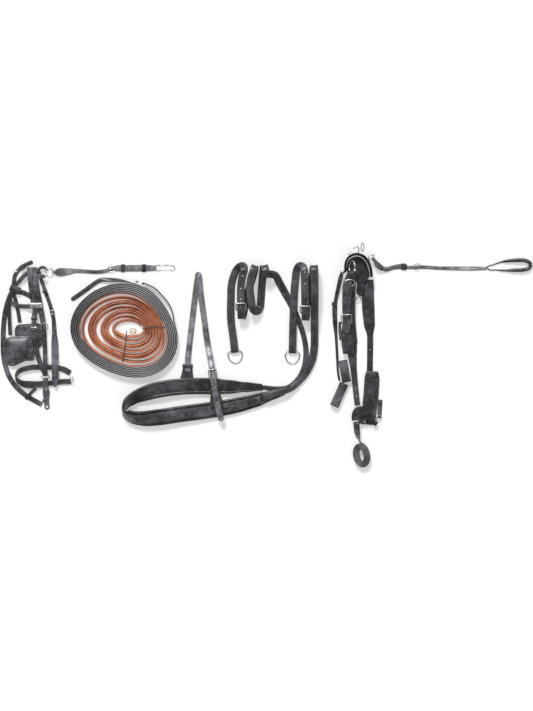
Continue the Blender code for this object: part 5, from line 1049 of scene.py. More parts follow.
collarRoute, collarAcross, collarOutward = bandRoute(
    collarPlan, collar["px"], collar["bendPx"], collar["leans"], collar["width"], collar["pad"],
    collar["strapGap"] + collar["leather"], collar["strapWidth"])
bandPiece("collar_lining", collarRoute, collarAcross, collar["width"], collar["pad"], "blackLeather")
first, last = (int(np.argmin(np.linalg.norm(collarRoute[:, :2] - spot(collarPlan, p), axis=1)))
               for p in collar["strapEndsPx"])
strapRoute = collarRoute[first:last].copy()
strapRise = collar["pad"] / 2 + collar["strapGap"] + collar["leather"] / 2
strapRoute[:, :3] += collarOutward[first:last] * strapRise
strapAcross = collarAcross[first:last]
strapPiece("collar_strap", strapRoute, collar["strapWidth"], collar["leather"], "wornLeather",
           across=strapAcross)
stitchRows("collarStrapStitches", strapRoute, collar["strapWidth"], collar["leather"], across=strapAcross)

neckBars = (spot(collarPlan, collar[name]) for name in ("barPx", "outerBarPx"))
neckBuckle = buckleAt(collarPlan, *neckBars, 7, collar["neckWidth"], collar["neckSpan"])
tugRoute = np.vstack([planRoute(collarPlan, collar["nearTugPx"] + ((*collar["barPx"], 8, 0.5),))[:-1],
                      chapeEnd(neckBuckle, 0.5)])
strapPiece("near_tug", tugRoute, collar["footWidth"], collar["leather"], "blackLeather",
           slots=[chapeSlot(neckBuckle, tugRoute)])
stitchRows("nearTugStitches", tugRoute, collar["footWidth"], collar["leather"], stop=0.055)
farTugRoute = planRoute(collarPlan, collar["farTugPx"])
strapPiece("far_tug", farTugRoute, collar["footWidth"], collar["leather"], "blackLeather")
stitchRows("farTugStitches", farTugRoute, collar["footWidth"], collar["leather"])
farLeg, nearLeg = planRoute(collarPlan, collar["neckFarPx"]), planRoute(collarPlan, collar["neckNearPx"])
neckRoute = np.vstack([farLeg, foldOver(farLeg[-1], nearLeg[0], (0, 1)), nearLeg])
# the neck strap's look paints a grey, silvery sheen into its colour
strapPiece("neck_strap", neckRoute, collar["neckWidth"], collar["leather"], "sheenPaintedLeather",
           tips=(False, True), slots=[billetSlot(neckBuckle, neckRoute)]
           + [punched(neckRoute, spot(collarPlan, p)) for p in collar["neckHolesPx"]])
buckleFrame("neck_buckle", neckBuckle)
buckleTongue("neck_tongue", neckBuckle)
neckKeeper = nearestAt(farTugRoute, spot(collarPlan, (187.3, 366)))
keeper("farNeckKeeper", farTugRoute, neckKeeper, 0.030, collar["leather"], over=0.0042, long=0.012)

trace = {
    "width": 0.0254, "leather": 0.0045, "topPx": 266, "lowLevels": {"near": 1, "far": 0}, "rise": 8,
    "quarterPoints": 36, "buckleSpan": 0.022, "ringWire": 0.0044, "ringHalf": 0.0238, "ringDepth": 0.0416,
}
traceSides = {
    "near": {
        "start": ((263.5, 397.6, 4.2, 0.9), (277, 393, 4, 0.8), (285.5, 390.6, 3.7, 0.8),
                  (292, 387.6, 1.9, 0.8), (298.5, 382, 1, 0.8), (306.8, 371.5, 1, 0.9), (311.8, 360, 1, 1),
                  (314, 347, 1, 1), (314.2, 334, 1.3, 1), (314.2, 322, 4, 1)),
        "coil": ((3, 314.2, 315), (3.8, 314, 316), (4.4, 312.5, 318), (5, 308.8, 319), (6, 305, 320),
                 (7, 304.4, 320), (7.85, 304, 319.5), (8.15, 296.4, 319), (9, 293.8, 318)),
        "end": ((292.6, 330, 2, 1), (292.2, 351.3, 2, 1)),
        "buckle": ((304.4, 313), (304.4, 306.5)),
        "holes": ((304.3, 272.5), (304.3, 284), (304.4, 296.5)),
    },
    "far": {
        "start": ((252, 387, 0.15, 0.6), (264, 387.6, 0, 0.6), (277, 389, 0, 0.7), (288.5, 387.2, 0, 0.7),
                  (297, 380.2, 0, 0.7), (302.8, 371, 0, 0.75), (305.6, 359, 0, 0.75), (305.2, 345, 0, 0.7),
                  (302, 331, 0, 0.7), (297, 317.5, 0, 0.8), (290, 302.5, 0, 0.9), (284.3, 292, 0, 1),
                  (279.3, 283, 1.2, 1), (274.5, 275.5, 4.5, 1)),
        "coil": ((-0.45, 266, 311), (0, 263.5, 311), (1, 261.4, 311), (1.8, 260, 311), (2.2, 252.4, 312),
                 (3, 249.4, 313), (3.4, 250.4, 314.5), (3.75, 253.6, 315.4), (4, 255.6, 316),
                 (4.4, 253.4, 317),
                 (5, 247.5, 318), (6, 241.3, 318.5), (7, 240.3, 318.5), (7.4, 241.2, 318.2),
                 (7.7, 243.6, 317.6), (7.9, 245.6, 317.4), (8.15, 237.2, 317), (8.4, 233.8, 317),
                 (8.7, 231.2, 316.4), (9, 230.6, 316)),
        "end": ((230.8, 322, 1, 1), (233, 338, 2, 1), (234.4, 350.8, 2, 1)),
        "buckle": ((240.4, 310.6), (240.4, 304.2)),
        "holes": ((241.2, 276), (240.6, 288.5), (240.4, 299)),
    },
}


def racetrack(turn, reach, rise):
    # a flattened loop with round ends, by its angle: how far along it, and how far below its middle
    straight = reach - rise
    quarters, part = np.divmod(turn / quarterTurn, 1)
    gone = np.where(quarters % 2 == 1, 1 - part, part) * (straight + rise * quarterTurn)
    angle = np.minimum(gone / rise, quarterTurn)
    along = straight + rise * np.cos(angle) - np.maximum(gone - rise * quarterTurn, 0)
    below = rise * np.sin(angle)
    return np.where(np.isin(quarters % 4, (0, 3)), along, -along), np.where(quarters % 4 < 2, below, -below)


def coilLoops(table, lowLevel):  # flattened loops that step sideways from quarter turn to quarter turn
    quarters, across, bottom = np.array(table, float).T
    count = round((quarters[-1] - quarters[0]) * trace["quarterPoints"])
    quarter = np.linspace(quarters[0], quarters[-1], count + 1)
    sideways = np.pad(np.interp(quarter, quarters, across), 7, "edge")
    sideways = np.lib.stride_tricks.sliding_window_view(sideways, 15).mean(axis=1)
    flat = spot(tracePlan, np.column_stack([sideways, np.interp(quarter, quarters, bottom)]))
    top = spot(tracePlan, (across[0], trace["topPx"]))[1]
    low, high = levelHeight(tracePlan, lowLevel), levelHeight(tracePlan, lowLevel + trace["rise"])
    along, below = racetrack(quarter * quarterTurn, (top - flat[:, 1]) / 2, (high - low) / 2)
    return np.column_stack([flat[:, 0], (top + flat[:, 1]) / 2 + along, (low + high) / 2 - below,
                            np.ones(len(quarter))])


def onRoute(route, place, level):  # the route's row nearest a picture place at a strap level
    goal = np.array([*spot(tracePlan, place), levelHeight(tracePlan, level)])
    return route[int(np.argmin(np.linalg.norm(route[:, :3] - goal, axis=1)))]


for side, table in traceSides.items():
    lowLevel = trace["lowLevels"][side]
    loops = coilLoops(table["coil"], lowLevel)
    lead = smoothRoute(np.vstack([planRows(tracePlan, table["start"]), loops[:1]]))
    tail = smoothRoute(np.vstack([loops[-1:], planRows(tracePlan, table["end"])]))
    route, ringBar, hanging = wrapEnd(np.vstack([lead[:-1], loops, tail[1:]]), trace["ringWire"],
                                      trace["leather"])
    bar, toward = (onRoute(loops, p, lowLevel + trace["rise"]) for p in table["buckle"])
    buckle = buckleAt(tracePlan, bar, toward, lowLevel + trace["rise"] - 1, trace["width"], trace["buckleSpan"],
                      rise=1)
    tops = [[*spot(tracePlan, p), levelHeight(tracePlan, lowLevel + trace["rise"])] for p in table["holes"]]
    strapPiece(side + "_trace", route, trace["width"], trace["leather"], "blackLeather",
               slots=[billetSlot(buckle, route)] + [punched(route, top) for top in tops])
    stitchRows(side + "TraceStitches", route, trace["width"], trace["leather"], topOnly=True)
    stitchRows(side + "TraceInnerStitches", route, trace["width"], trace["leather"], topOnly=True,
               inset=0.0068)
    dRing(side + "_trace_ring", ringBar, hanging, trace["ringHalf"], trace["ringDepth"], trace["ringWire"])
    buckleFrame(side + "_trace_buckle", buckle)
    buckleTongue(side + "_trace_tongue", buckle)
print("breast collar and traces made")


# The bridle

bridle = {
    "leather": 0.0026, "crownWidth": 0.033, "cheekWidth": 0.017, "throatWidth": 0.013, "sideWidth": 0.017,
    "stayWidth": 0.013, "browWidth": 0.015, "noseWidth": 0.019, "nosePad": 0.006, "pollWidth": 0.014,
    "bitWidth": 0.016, "buckleSpan": 0.026, "bitWire": 0.003, "bitHole": 0.00792,
    "crownNearPx": ((35.7, 339.5, 5, 0.48), (35.1, 332.5, 5, 0.48), (34.5, 325.5, 5, 0.5),
                    (35, 316, 5, 0.52), (36.2, 309, 5, 0.6), (35.2, 298, 5, 0.94), (33.6, 283, 5, 1),
                    (32.2, 268.5, 5, 1)),
    "crownFarPx": ((32.2, 268.5, 3, 1), (34.2, 284, 3, 1), (37.6, 299, 3, 0.9), (41.2, 311, 3, 0.6),
                   (43.6, 324, 3, 0.52), (44.6, 335, 3, 0.5)),
    "slitPx": (32.9, 278.5), "slitHalfPx": (3, 0.5), "cheekBarPx": (35.3, 335.2), "cheekOuterPx": (34.6, 327),
    "nearCheekPx": ((45.2, 372.5, 5.1, 1), (42, 366, 5.1, 1), (38.2, 356, 4.2, 1), (36.6, 346, 4, 1)),
    "farCheekPx": ((44.5, 332, 1.9, 0.9), (45, 345, 2, 0.9), (45.3, 352, 2.3, 0.9), (45.6, 361, 4, 0.9),
                   (45.8, 374.6, 4, 0.9)),
    "bitRingPx": (8.6, 4.6), "bitHolePx": (47.2, 406.6),
    "bitStrapPx": ((46.1, 377.8, 4, 1), (46.2, 382, 4, 1), (46.2, 388, 3.6, 1.2), (46.4, 393, 1.5, 1.45),
                   (46.6, 401, 0, 1.1), (47.4, 409.5, 0, 1.1)),
    "nosePx": ((70.5, 373, 0, 1), (64, 369.4, 0, 1), (55, 367.6, 0, 1), (40, 367, 0, 1),
               (26.5, 368.4, 0.4, 1), (18.6, 372, 1.1, 1), (16.6, 377.4, 1.3, 1), (21, 382.6, 1.1, 1.15),
               (31, 384.6, 0.5, 1.35), (41, 384.2, 0, 1.2), (50, 383.2, 0, 1), (60, 381.8, 0, 1),
               (71, 381.4, 0, 1)),
    "noseBendPx": (16.6, 376), "noseLeans": (math.radians(50), math.radians(8)),
    "sidePx": ((31.5, 296.5, 0, 1), (20, 292, 0, 1), (12, 293, 0, 1), (8.6, 300, 0, 1), (5.8, 310, 0, 1),
               (3.8, 325, 0, 1), (3.2, 340, 0, 1), (3.6, 355, 0, 1), (5.6, 366, 0, 1), (9.6, 377, 0, 1),
               (16.6, 387, 0, 1), (27.6, 396.4, 0, 1), (38, 402.4, 0, 1), (42.2, 404.6, 0, 1)),
    "throatPx": ((37.8, 268.5, 1, 1), (41.2, 279, 1, 1), (45, 290, 1, 1), (48.2, 299, 1, 1),
                 (51.4, 309, 1, 1), (53.6, 319, 1, 1), (54.4, 331, 1, 1.2), (55, 345, 1, 1.8),
                 (55.3, 357, 2.4, 1.8), (55.5, 364.5, 3.7, 1.8), (55.6, 380, 3.8, 1.8),
                 (55.4, 386.8, 3.7, 0.9)),
    "pollDownPx": ((33, 261.6, 0, 1), (25, 265.4, 0, 1), (18.4, 270.5, 0, 1), (15, 276, 0, 1),
                   (14, 286, 0, 1)),
    "pollBackPx": ((14.8, 286, 2, 1), (18.6, 282.6, 2.4, 1), (22.6, 278, 3.6, 1), (25.4, 275.4, 4, 1),
                   (29, 272.6, 4, 1)),
    "stayNearPx": ((10.8, 335.4, 3.4, 1), (9.8, 318, 3, 1), (9.6, 306, 3, 1), (12, 291, 3.4, 1)),
    "stayFarPx": ((12.6, 291, 1, 1), (15.4, 299, 1, 1), (18, 310, 1, 1), (20, 322.6, 1, 1)),
    "browPx": ((9.8, 296.4, 2, 1), (11, 302.4, 2, 1), (15.6, 305.2, 2, 1), (24, 306.4, 2.2, 1),
               (31, 306.6, 4, 1), (39, 306.2, 4, 1)),
}
winker = {
    "leather": 0.003, "dome": 0.010, "points": 96, "nearLevel": 2.9, "farLevel": 0.8, "groove": 0.86,
    "sewn": 0.945,
    "nearPx": ((31.6, 337.4), (20, 336.4), (10, 337), (5.6, 338.6), (3.6, 343), (3.9, 352), (6, 361),
               (9.4, 365.4), (14, 366), (20, 363.6), (26, 361), (34.8, 359.4), (35.05, 356.6),
               (33.7, 346.6), (32.6, 341)),
    "farPx": ((40, 323.8), (30, 323.6), (22, 324.4), (17, 325.4), (15, 329), (15, 335), (17, 342),
              (24, 347), (33, 349), (39.6, 348)),
}

crownNear, crownFar = planRoute(bridlePlan, bridle["crownNearPx"]), planRoute(bridlePlan, bridle["crownFarPx"])
crownRoute = np.vstack([crownNear, foldOver(crownNear[-1], crownFar[0], (0, 1)), crownFar])
cheekBars = (spot(bridlePlan, bridle[name]) for name in ("cheekBarPx", "cheekOuterPx"))
cheekBuckle = buckleAt(bridlePlan, *cheekBars, 3, bridle["cheekWidth"], bridle["buckleSpan"])
slit = [*spot(bridlePlan, bridle["slitPx"]), levelHeight(bridlePlan, 5)]
slitHalf = bridlePlan["pixel"] * np.array(bridle["slitHalfPx"])
strapPiece("crown_piece", crownRoute, bridle["crownWidth"], bridle["leather"], "wornLeather",
           tips=(True, False), slots=[billetSlot(cheekBuckle, crownRoute),
                                      (nearestAt(crownRoute, slit), *slitHalf)])
nearCheek = np.vstack([planRoute(bridlePlan, bridle["nearCheekPx"]), chapeEnd(cheekBuckle, 1.0)])
strapPiece("near_cheek_strap", nearCheek, bridle["cheekWidth"], bridle["leather"], "blackLeather",
           slots=[chapeSlot(cheekBuckle, nearCheek)])
stitchRows("nearCheekStitches", nearCheek, bridle["cheekWidth"], bridle["leather"], start=0.004, stop=0.100)
buckleFrame("near_cheek_buckle", cheekBuckle)
buckleTongue("near_cheek_tongue", cheekBuckle)
farCheek, bitBar, bitWay = wrapEnd(planRoute(bridlePlan, bridle["farCheekPx"]), bridle["bitWire"],
                                   bridle["leather"])
strapPiece("far_cheek_strap", farCheek, bridle["cheekWidth"], bridle["leather"], "blackLeather")
ringWidth, ringDepth = bridlePlan["pixel"] * np.array(bridle["bitRingPx"])
flatD("bit_ring", bitBar, bitWay, ringWidth / 2, ringDepth, 2 * bridle["bitWire"], bridle["bitWire"])
bitStrap = planRoute(bridlePlan, bridle["bitStrapPx"])
strapPiece("bit_strap", bitStrap, bridle["bitWidth"], bridle["leather"], "wornLeather", tips=(False, True),
           slots=[punched(bitStrap, spot(bridlePlan, bridle["bitHolePx"]), bridle["bitHole"])])
noseRoute, noseAcross, _ = bandRoute(bridlePlan, bridle["nosePx"], bridle["noseBendPx"], bridle["noseLeans"],
                                     bridle["noseWidth"], bridle["nosePad"])
bandPiece("noseband", noseRoute, noseAcross, bridle["noseWidth"], bridle["nosePad"], "blackLeather")
sideRoute = planRoute(bridlePlan, bridle["sidePx"])
strapPiece("side_strap", sideRoute, bridle["sideWidth"], bridle["leather"], "wornLeather")
stitchRows("sideStrapStitches", sideRoute, bridle["sideWidth"], bridle["leather"])
throatRoute = planRoute(bridlePlan, bridle["throatPx"])
strapPiece("throatlatch", throatRoute, bridle["throatWidth"], bridle["leather"], "wornLeather")
browRoute = planRoute(bridlePlan, bridle["browPx"])
strapPiece("browband", browRoute, bridle["browWidth"], bridle["leather"], "wornLeather")
stitchRows("browbandStitches", browRoute, bridle["browWidth"], bridle["leather"])
for node, first, second, toward, width in (
        ("poll_strap", "pollDownPx", "pollBackPx", (0.1, -1), bridle["pollWidth"]),
        ("blinker_stay", "stayNearPx", "stayFarPx", (0, 1), bridle["stayWidth"])):
    first, second = planRoute(bridlePlan, bridle[first]), planRoute(bridlePlan, bridle[second])
    route = np.vstack([first, foldOver(first[-1], second[0], toward), second])
    strapPiece(node, route, width, bridle["leather"], "blackLeather", tips=(node == "poll_strap", False))


def evenly(outline, count):  # this many points, evenly spaced round a closed outline
    closed = np.vstack([outline, outline[:1]])
    return rowsAt(closed, np.linspace(0, walked(closed)[-1], count + 1)[:-1])


for node, table, level, dome, pad in (("near_blinker", "nearPx", "nearLevel", winker["dome"], 0.0),
                                      ("far_blinker", "farPx", "farLevel", 0.0, 0.0008)):
    outline = evenly(smoothRoute(atLift(bridlePlan, winker[table], 0), closed=True), winker["points"])
    base = levelHeight(bridlePlan, winker[level]) - bridle["leather"] / 2
    panel(camel(node), outline, base, winker["leather"], "wornLeather", dome=dome, body=nodeBody[node],
          node=node, groove=winker["groove"], pad=pad)
    border = outline.mean(axis=0) + (outline - outline.mean(axis=0)) * winker["sewn"]
    border[:, 2] = base + winker["leather"] + dome * (1 - winker["sewn"]**2)
    border = np.vstack([border, border[:1]])
    outward = unitRows(border[:, :2] - border[:, :2].mean(axis=0))
    outward = np.column_stack([outward, np.zeros(len(outward))])
    stitchRows(camel(node) + "Stitches", border, 0.001, 0.0, across=outward, sides=(0,), body=nodeBody[node],
               topOnly=True)


# silver clips, buckles and keepers of the bridle
crownLift = levelHeight(bridlePlan, 6) + 0.0004
plateAt("browbandClip", bridlePlan, ((30.4, 308.8), (43.1, 308.2), (42.9, 303), (30.2, 303.6)),
        crownLift - 0.0006, 0.0016, dome=0.0014)
for name, a, b, width in (("pollKnot", (10.6, 287.2), (20.6, 291.4), 0.022),
                          ("pollKeeper", (20.8, 268.9), (25.2, 266.3), 0.018),
                          ("crownTab", (36.8, 276.9), (45.4, 276.2), 0.0135),
                          ("throatKnob", (43, 291.2), (47.4, 291.8), 0.014)):
    lift = max(topAt(bridlePlan, place, 0.009) for place in (a, b))
    ends = np.array([[*spot(bridlePlan, place), lift, 1] for place in (a, b)])
    path = ends[0] + (ends[1] - ends[0]) * np.linspace(0, 1, 9)[:, None]
    strapPiece(name, path, width, 0.0034, "blackLeather", name=name)
plateAt("crownTabEnd", bridlePlan, ((45, 278), (47, 278), (47, 274.6), (45, 274.6)),
        topAt(bridlePlan, (45.4, 276.2)), 0.0014)
plateAt("pollPlate", bridlePlan, ((14.6, 273), (17.8, 271.8), (17.2, 270.6), (14.2, 271.8)),
        levelHeight(bridlePlan, 0) + 0.0016, 0.0014)
bow("browbandEnd", bridlePlan, ((11.6, 302), (11.9, 304.4), (13.6, 305.9), (15.4, 305.4)), 0.0022,
    topAt(bridlePlan, (12.6, 304.6)))
bow("farCheekBuckle", bridlePlan, ((42.1, 330.2), (41.7, 326.4), (43, 323.8), (45.3, 323), (47.4, 323.9),
                                   (48.4, 326.6), (47.8, 330)), 0.0026, levelHeight(bridlePlan, 4.2))
bow("farCheekPin", bridlePlan, ((45.1, 323.6), (44.9, 329.6)), 0.0018, levelHeight(bridlePlan, 4.2))
plainBuckle("throatBuckle", bridlePlan, (52.9, 313.9), (52, 310.4), levelHeight(bridlePlan, 2.1), 0.010)
plainBuckle("nosebandBuckle", bridlePlan, (71, 379.8), (73.4, 379.8), 0.0086, 0.017, wire=0.0026,
            tongue=False)
stud("bitKnob", bridlePlan, (46.6, 389.2), 0.0078, look="wornLeather", high=0.45, ring=0.0012)
stud("bitStud", bridlePlan, (46.6, 389.2), 0.0026, high=0.4)
stud("bitLowKnob", bridlePlan, (44.2, 400.4), 0.0052, look="wornLeather", high=0.4, ring=0.0008)
chinRoute = planRoute(bridlePlan, ((36.2, 388.4, 1.2, 1), (32, 392, 1.2, 1), (28.2, 396.4, 1.2, 1)))
strapPiece("chinStrap", chinRoute, 0.011, bridle["leather"], "blackLeather", name="chinStrap")
keeper("chinKeeper", sideRoute, nearestAt(sideRoute, spot(bridlePlan, (27.4, 396.6))), bridle["sideWidth"],
       bridle["leather"])
for name, place in (("crownKeeperHigh", (34.6, 318.6)), ("crownKeeperLow", (34.9, 330))):
    at = nearestAt(crownRoute, [*spot(bridlePlan, place), levelHeight(bridlePlan, 5)])
    keeper(name, crownRoute, at, bridle["cheekWidth"], bridle["leather"], long=0.008)
print("bridle made")


# The overcheck

check = {
    "width": 0.013, "leather": 0.0026, "ringHalfPx": 3.9, "ringWire": 0.003, "snapWire": 0.0036,
    "gateWire": 0.0022, "holePx": (152, 268.2),
    "hangerPx": ((36.2, 272.8, 4, 0.8), (39.6, 269, 4, 0.8), (42.6, 267.4, 3, 0.8), (44.7, 267.7, 2.8, 0.7),
                 (46.94, 269.44, 2.5, 0.34)),
    "px": ((155.3, 268.2, 0.3, 1.4), (144, 268.2, 0, 1.7), (128, 268.3, 0, 1.7), (117.5, 268.3, 0, 1.6),
           (113, 268.6, 0, 1), (107, 270.6, 0.6, 1), (98, 272, 0.3, 1), (88, 271.6, 0.3, 1),
           (76, 271, 0, 1.1), (68, 271.7, 0, 1.8), (61, 272.3, 0, 2.2), (57.4, 272.3, 1.4, 1.8),
           (53.6, 272.2, 2.5, 0.4)),
    "snapPx": ((156.4, 265.2), (156, 268.2), (156.6, 270.4), (158.4, 271), (159.6, 270.2)),
    "hookPx": ((156.4, 265.4), (160, 265.2), (167, 265.2), (172, 265.6), (174.4, 267.2), (174.2, 269.4),
               (172, 270.4), (170.4, 270.2)),
    "gatePx": ((159.85, 270.2), (170.15, 270.2)),
}
checkRoute, checkBar, _ = wrapEnd(planRoute(checkPlan, check["px"]), check["ringWire"] + 2 * gap,
                                  check["leather"])
ringHalf = checkPlan["pixel"] * check["ringHalfPx"]
wirePiece("overcheckRing", ovalLoop(checkBar - [ringHalf, 0, 0], (ringHalf, 0, 0), (0, ringHalf, 0)),
          check["ringWire"] / 2, "nickelPlate", across=(0, 0, 1), closed=True, node="overcheck_ring")
# the overcheck's look paints a grey, silvery sheen into its colour
strapPiece("overcheck_strap", checkRoute, check["width"], check["leather"], "sheenPaintedLeather",
           slots=[punched(checkRoute, spot(checkPlan, check["holePx"]))])
stitchRows("overcheckStitches", checkRoute, check["width"], check["leather"], start=0.012,
           stop=walked(checkRoute)[-1] - 0.03, body="overcheck")
hanger, _, _ = wrapEnd(planRoute(checkPlan, check["hangerPx"]), check["ringWire"] + gap, check["leather"])
strapPiece("check_hanger", hanger, check["width"], check["leather"], "blackLeather")
snapLine = check["snapPx"][::-1] + check["hookPx"][1:]
snapRoute = smoothRoute(atLift(checkPlan, snapLine, check["snapWire"] / 2))
snapRoute = rowsAt(snapRoute, stationsOf(snapRoute, 0.003, math.radians(10)))
wirePiece("overcheckSnap", snapRoute, check["snapWire"] / 2, "nickelPlate", across=(0, 0, 1),
          node="overcheck_snap", body="overcheck")
gateEnds = atLift(checkPlan, check["gatePx"], check["snapWire"] / 2)
gateShares = np.linspace(0, 1, 12)[:, None]
gatePath = gateEnds[0] + (gateEnds[1] - gateEnds[0]) * gateShares
gateThick = check["gateWire"] / 2 * (1 - 0.18 * np.sin(math.pi * gateShares[:, 0]))
wirePiece("overcheckGate", gatePath, gateThick, "nickelPlate", across=(0, 0, 1), node="overcheck_gate",
          body="overcheck_gate")
plainBuckle("overcheckBuckle", checkPlan, (114.6, 268.3), (108.4, 269.4), levelHeight(checkPlan, 1) + 0.0006,
            0.015, body="overcheck")
for name, place in (("overcheckKeeper", (123, 268.3)), ("overcheckEndKeeper", (144, 268.2))):
    keeper(name, checkRoute, nearestAt(checkRoute, spot(checkPlan, place)), check["width"] * 1.7,
           check["leather"], body="overcheck", long=0.012)
print("overcheck made")


# The saddle, its girth, and the near tug

saddle = {
    "leather": 0.0034, "seatWidth": 0.044, "seatLeather": 0.008, "padThick": 0.009, "skirtWidth": 0.040,
    "girthStrapWidth": 0.021, "girthWidth": 0.050, "girthPad": 0.009, "tugWidth": 0.032, "tugShare": 0.84,
    "shaftTugWidth": 0.041, "sleeveStrapWidth": 0.011, "bellyWidth": 0.020, "tugSpan": 0.028,
    "terretWire": 0.004, "terretHalf": 0.019, "terretLean": math.radians(62), "ringWire": 0.003,
    "seatPx": ((344.5, 272.5), (344.4, 266), (345.9, 260), (350.2, 255.8), (356, 254.4), (362, 256.3),
               (366.8, 261.5), (369.6, 268.6), (370.7, 277.4)),
    "nearSkirtPx": ((351.4, 344, 1.2, 0.92), (349.4, 331, 2, 1), (348.5, 318, 3, 1), (348.4, 303, 4.4, 1),
                    (348.6, 290, 6, 1), (349.4, 279.5, 8, 0.9), (350.3, 273, 8.4, 0.62),
                    (350.5, 267, 8.6, 0.6), (351, 260.4, 9, 0.56)),
    "nearGirthPx": ((350.6, 338, 0.1, 1.7), (351.2, 350, 0.1, 1.6), (351.8, 359, 0.6, 1.3),
                    (352.8, 370, 1.4, 1), (354.6, 388, 2, 0.9), (356, 401, 3, 0.9), (356.6, 405.6, 3.2, 0.9)),
    "nearGirthHolesPx": ((354.8, 388.9), (355.6, 396.6)),
    "girthEndPx": ((355.2, 407.4), (363.6, 407.4), (366.2, 411.5), (366, 420), (363, 423), (352, 422.4),
                   (351.2, 413)), "girthEndLevel": 3.6,
    "padPx": ((346.3, 271.5), (346.2, 266.2), (347.5, 261), (351, 258), (356, 256.7), (361.1, 258.3),
              (365, 262.6), (367.6, 269.2), (368.4, 277.6), (364.4, 281.4), (363, 292), (360.2, 296.6),
              (356.8, 295), (355.4, 282), (350.5, 274.6)),
    "farSkirtPx": ((369, 376, 0, 0.5), (369.4, 352, 0, 0.5), (369.4, 336, 0, 0.52), (368.6, 324, 0, 0.94),
                   (367.6, 308, 0, 1.04), (367.4, 290, 0, 1), (368.2, 279.6, 0, 0.76)),
    "farSkirtHolePx": (369.4, 350),
    "girthPadPx": ((371.4, 371.5), (371, 382), (370.2, 395), (368.8, 408), (367.8, 419), (367.4, 425)),
    "girthShares": (0.8, 1, 1, 1, 1, 1, 0.96, 0.92, 0.92), "ringDownPx": 421,
    "ringHalfPx": 2.7, "ringDepthPx": 5.6,
    "terretPx": (350.6, 267.6),
    "hookPx": ((357.2, 253.25), (357.6, 248.6), (356, 246.9), (353.8, 247.4), (352.8, 249.6)),
    "tugPx": ((347.2, 279.4, 9.3, 0.9), (346.2, 288, 8.2, 0.98), (345.6, 300, 6.8, 0.94),
              (345.2, 312, 6.6, 0.82), (345.5, 322, 6.6, 0.8), (345.9, 333, 6.6, 0.78)),
    "tugBarPx": (345.5, 323.6), "tugOuterPx": (345.1, 315.2), "tugBarLevel": 4.6,
    "chapePx": ((347.6, 354, 3.3, 0.9), (347, 344, 3.8, 1), (346, 333, 4.8, 0.95)),
    "sleevePx": (((341.8, 360.4), (345.8, 382.4)), ((343.4, 383.7), (333.2, 406.8))),
    "sleeveSize": (0.028, 0.018), "sleeveLeather": 0.0026,
    "sleeveStrapPx": ((341.4, 272, 4, 1), (339.4, 279, 3.6, 1.3), (337.4, 288, 2.4, 1.2),
                      (334.8, 301, 1, 1.1), (333.9, 312, 0, 1.5), (334.2, 321, 0, 1.4),
                      (335.4, 338, 0, 0.9), (336.4, 356, 0.24, 0.8), (337.2, 372, 0.24, 0.7),
                      (338.6, 380.8, 0.24, 0.7)),
}
belly = {
    "leadPx": ((355.2, 418.6, 4.66, 1), (355.6, 425, 4.66, 1), (356.4, 433, 3.6, 1), (357.6, 438, 3, 1)),
    "coilPx": (360.3, 455.4), "halfPx": (9.2, 13.2), "turns": 5, "apart": 0.0013,
    "lean": math.radians(14), "points": 40, "flatShare": 0.4,
}


seatRoute = smoothRoute(atLift(saddlePlan, saddle["seatPx"], saddle["seatWidth"] / 2 + gap))


def seatPiece():
    # the padded seat stands on edge: its outer face swells between two sewn lines, its inner face is flat
    places = stationsOf(seatRoute, 0.004, math.radians(5))
    rows = rowsAt(seatRoute, places)
    half = saddle["seatWidth"] / 2
    u = np.array([0, 0.3, 0.6, 0.76, 0.80, 0.84, 0.9, 0.97, 1])
    u = np.concatenate([-u[:0:-1], u])
    swell = 0.62 + 0.38 * np.cos(np.clip(u / 0.8, -1, 1) * quarterTurn) ** 0.6
    swell = np.where(np.abs(u) > 0.79, 0.62 - 0.12 * np.exp(-((np.abs(u) - 0.80) / 0.02) ** 2), swell)
    swell = swell * np.sqrt(np.clip(1 - np.clip((np.abs(u) - 0.9) / 0.1, 0, 1) ** 2, 0.06, 1))
    inward = np.clip(np.minimum(places, places[-1] - places) / 0.006, 0, 1)
    close = domed(inward, blunt["seat"])[:, None]
    outer = np.stack([np.broadcast_to(u * half, (len(rows), len(u))),
                      -swell * close * saddle["seatLeather"] / 2], axis=-1)
    inner = np.stack([np.broadcast_to(u[::-1] * half, (len(rows), len(u))),
                      np.broadcast_to(0.92 * saddle["seatLeather"] / 2 * close, (len(rows), len(u)))], axis=-1)
    ring = np.concatenate([outer, inner[:, 1:-1]], axis=1)
    sideways = np.broadcast_to([0.0, 0.0, 1.0], (len(rows), 3))
    points = carried(rows, sideways, headingsOf(rows), ring[..., 0], ring[..., 1])
    piece = addPiece("saddleSeat", points, gridFaces(len(rows), ring.shape[1]), "dullLeather",
                     nodeBody["saddle_seat"], "saddle_seat", sharp=60)


seatPiece()
nearSkirt = planRoute(saddlePlan, saddle["nearSkirtPx"])
strapPiece("near_skirt", nearSkirt, saddle["skirtWidth"], saddle["leather"], "blackLeather")
stitchRows("nearSkirtStitches", nearSkirt, saddle["skirtWidth"], saddle["leather"])
nearGirth = planRoute(saddlePlan, saddle["nearGirthPx"])
strapPiece("near_girth_strap", nearGirth, saddle["girthStrapWidth"], saddle["leather"], "blackLeather",
           slots=[punched(nearGirth, spot(saddlePlan, p)) for p in saddle["nearGirthHolesPx"]])
farSkirt = planRoute(saddlePlan, saddle["farSkirtPx"])
strapPiece("far_skirt", farSkirt, saddle["skirtWidth"], saddle["leather"], "blackLeather",
           slots=[punched(farSkirt, spot(saddlePlan, saddle["farSkirtHolePx"]))])
stitchRows("farSkirtStitches", farSkirt, saddle["skirtWidth"], saddle["leather"], start=0.14)
padOutline = evenly(smoothRoute(atLift(saddlePlan, saddle["padPx"], 0), closed=True), 96)
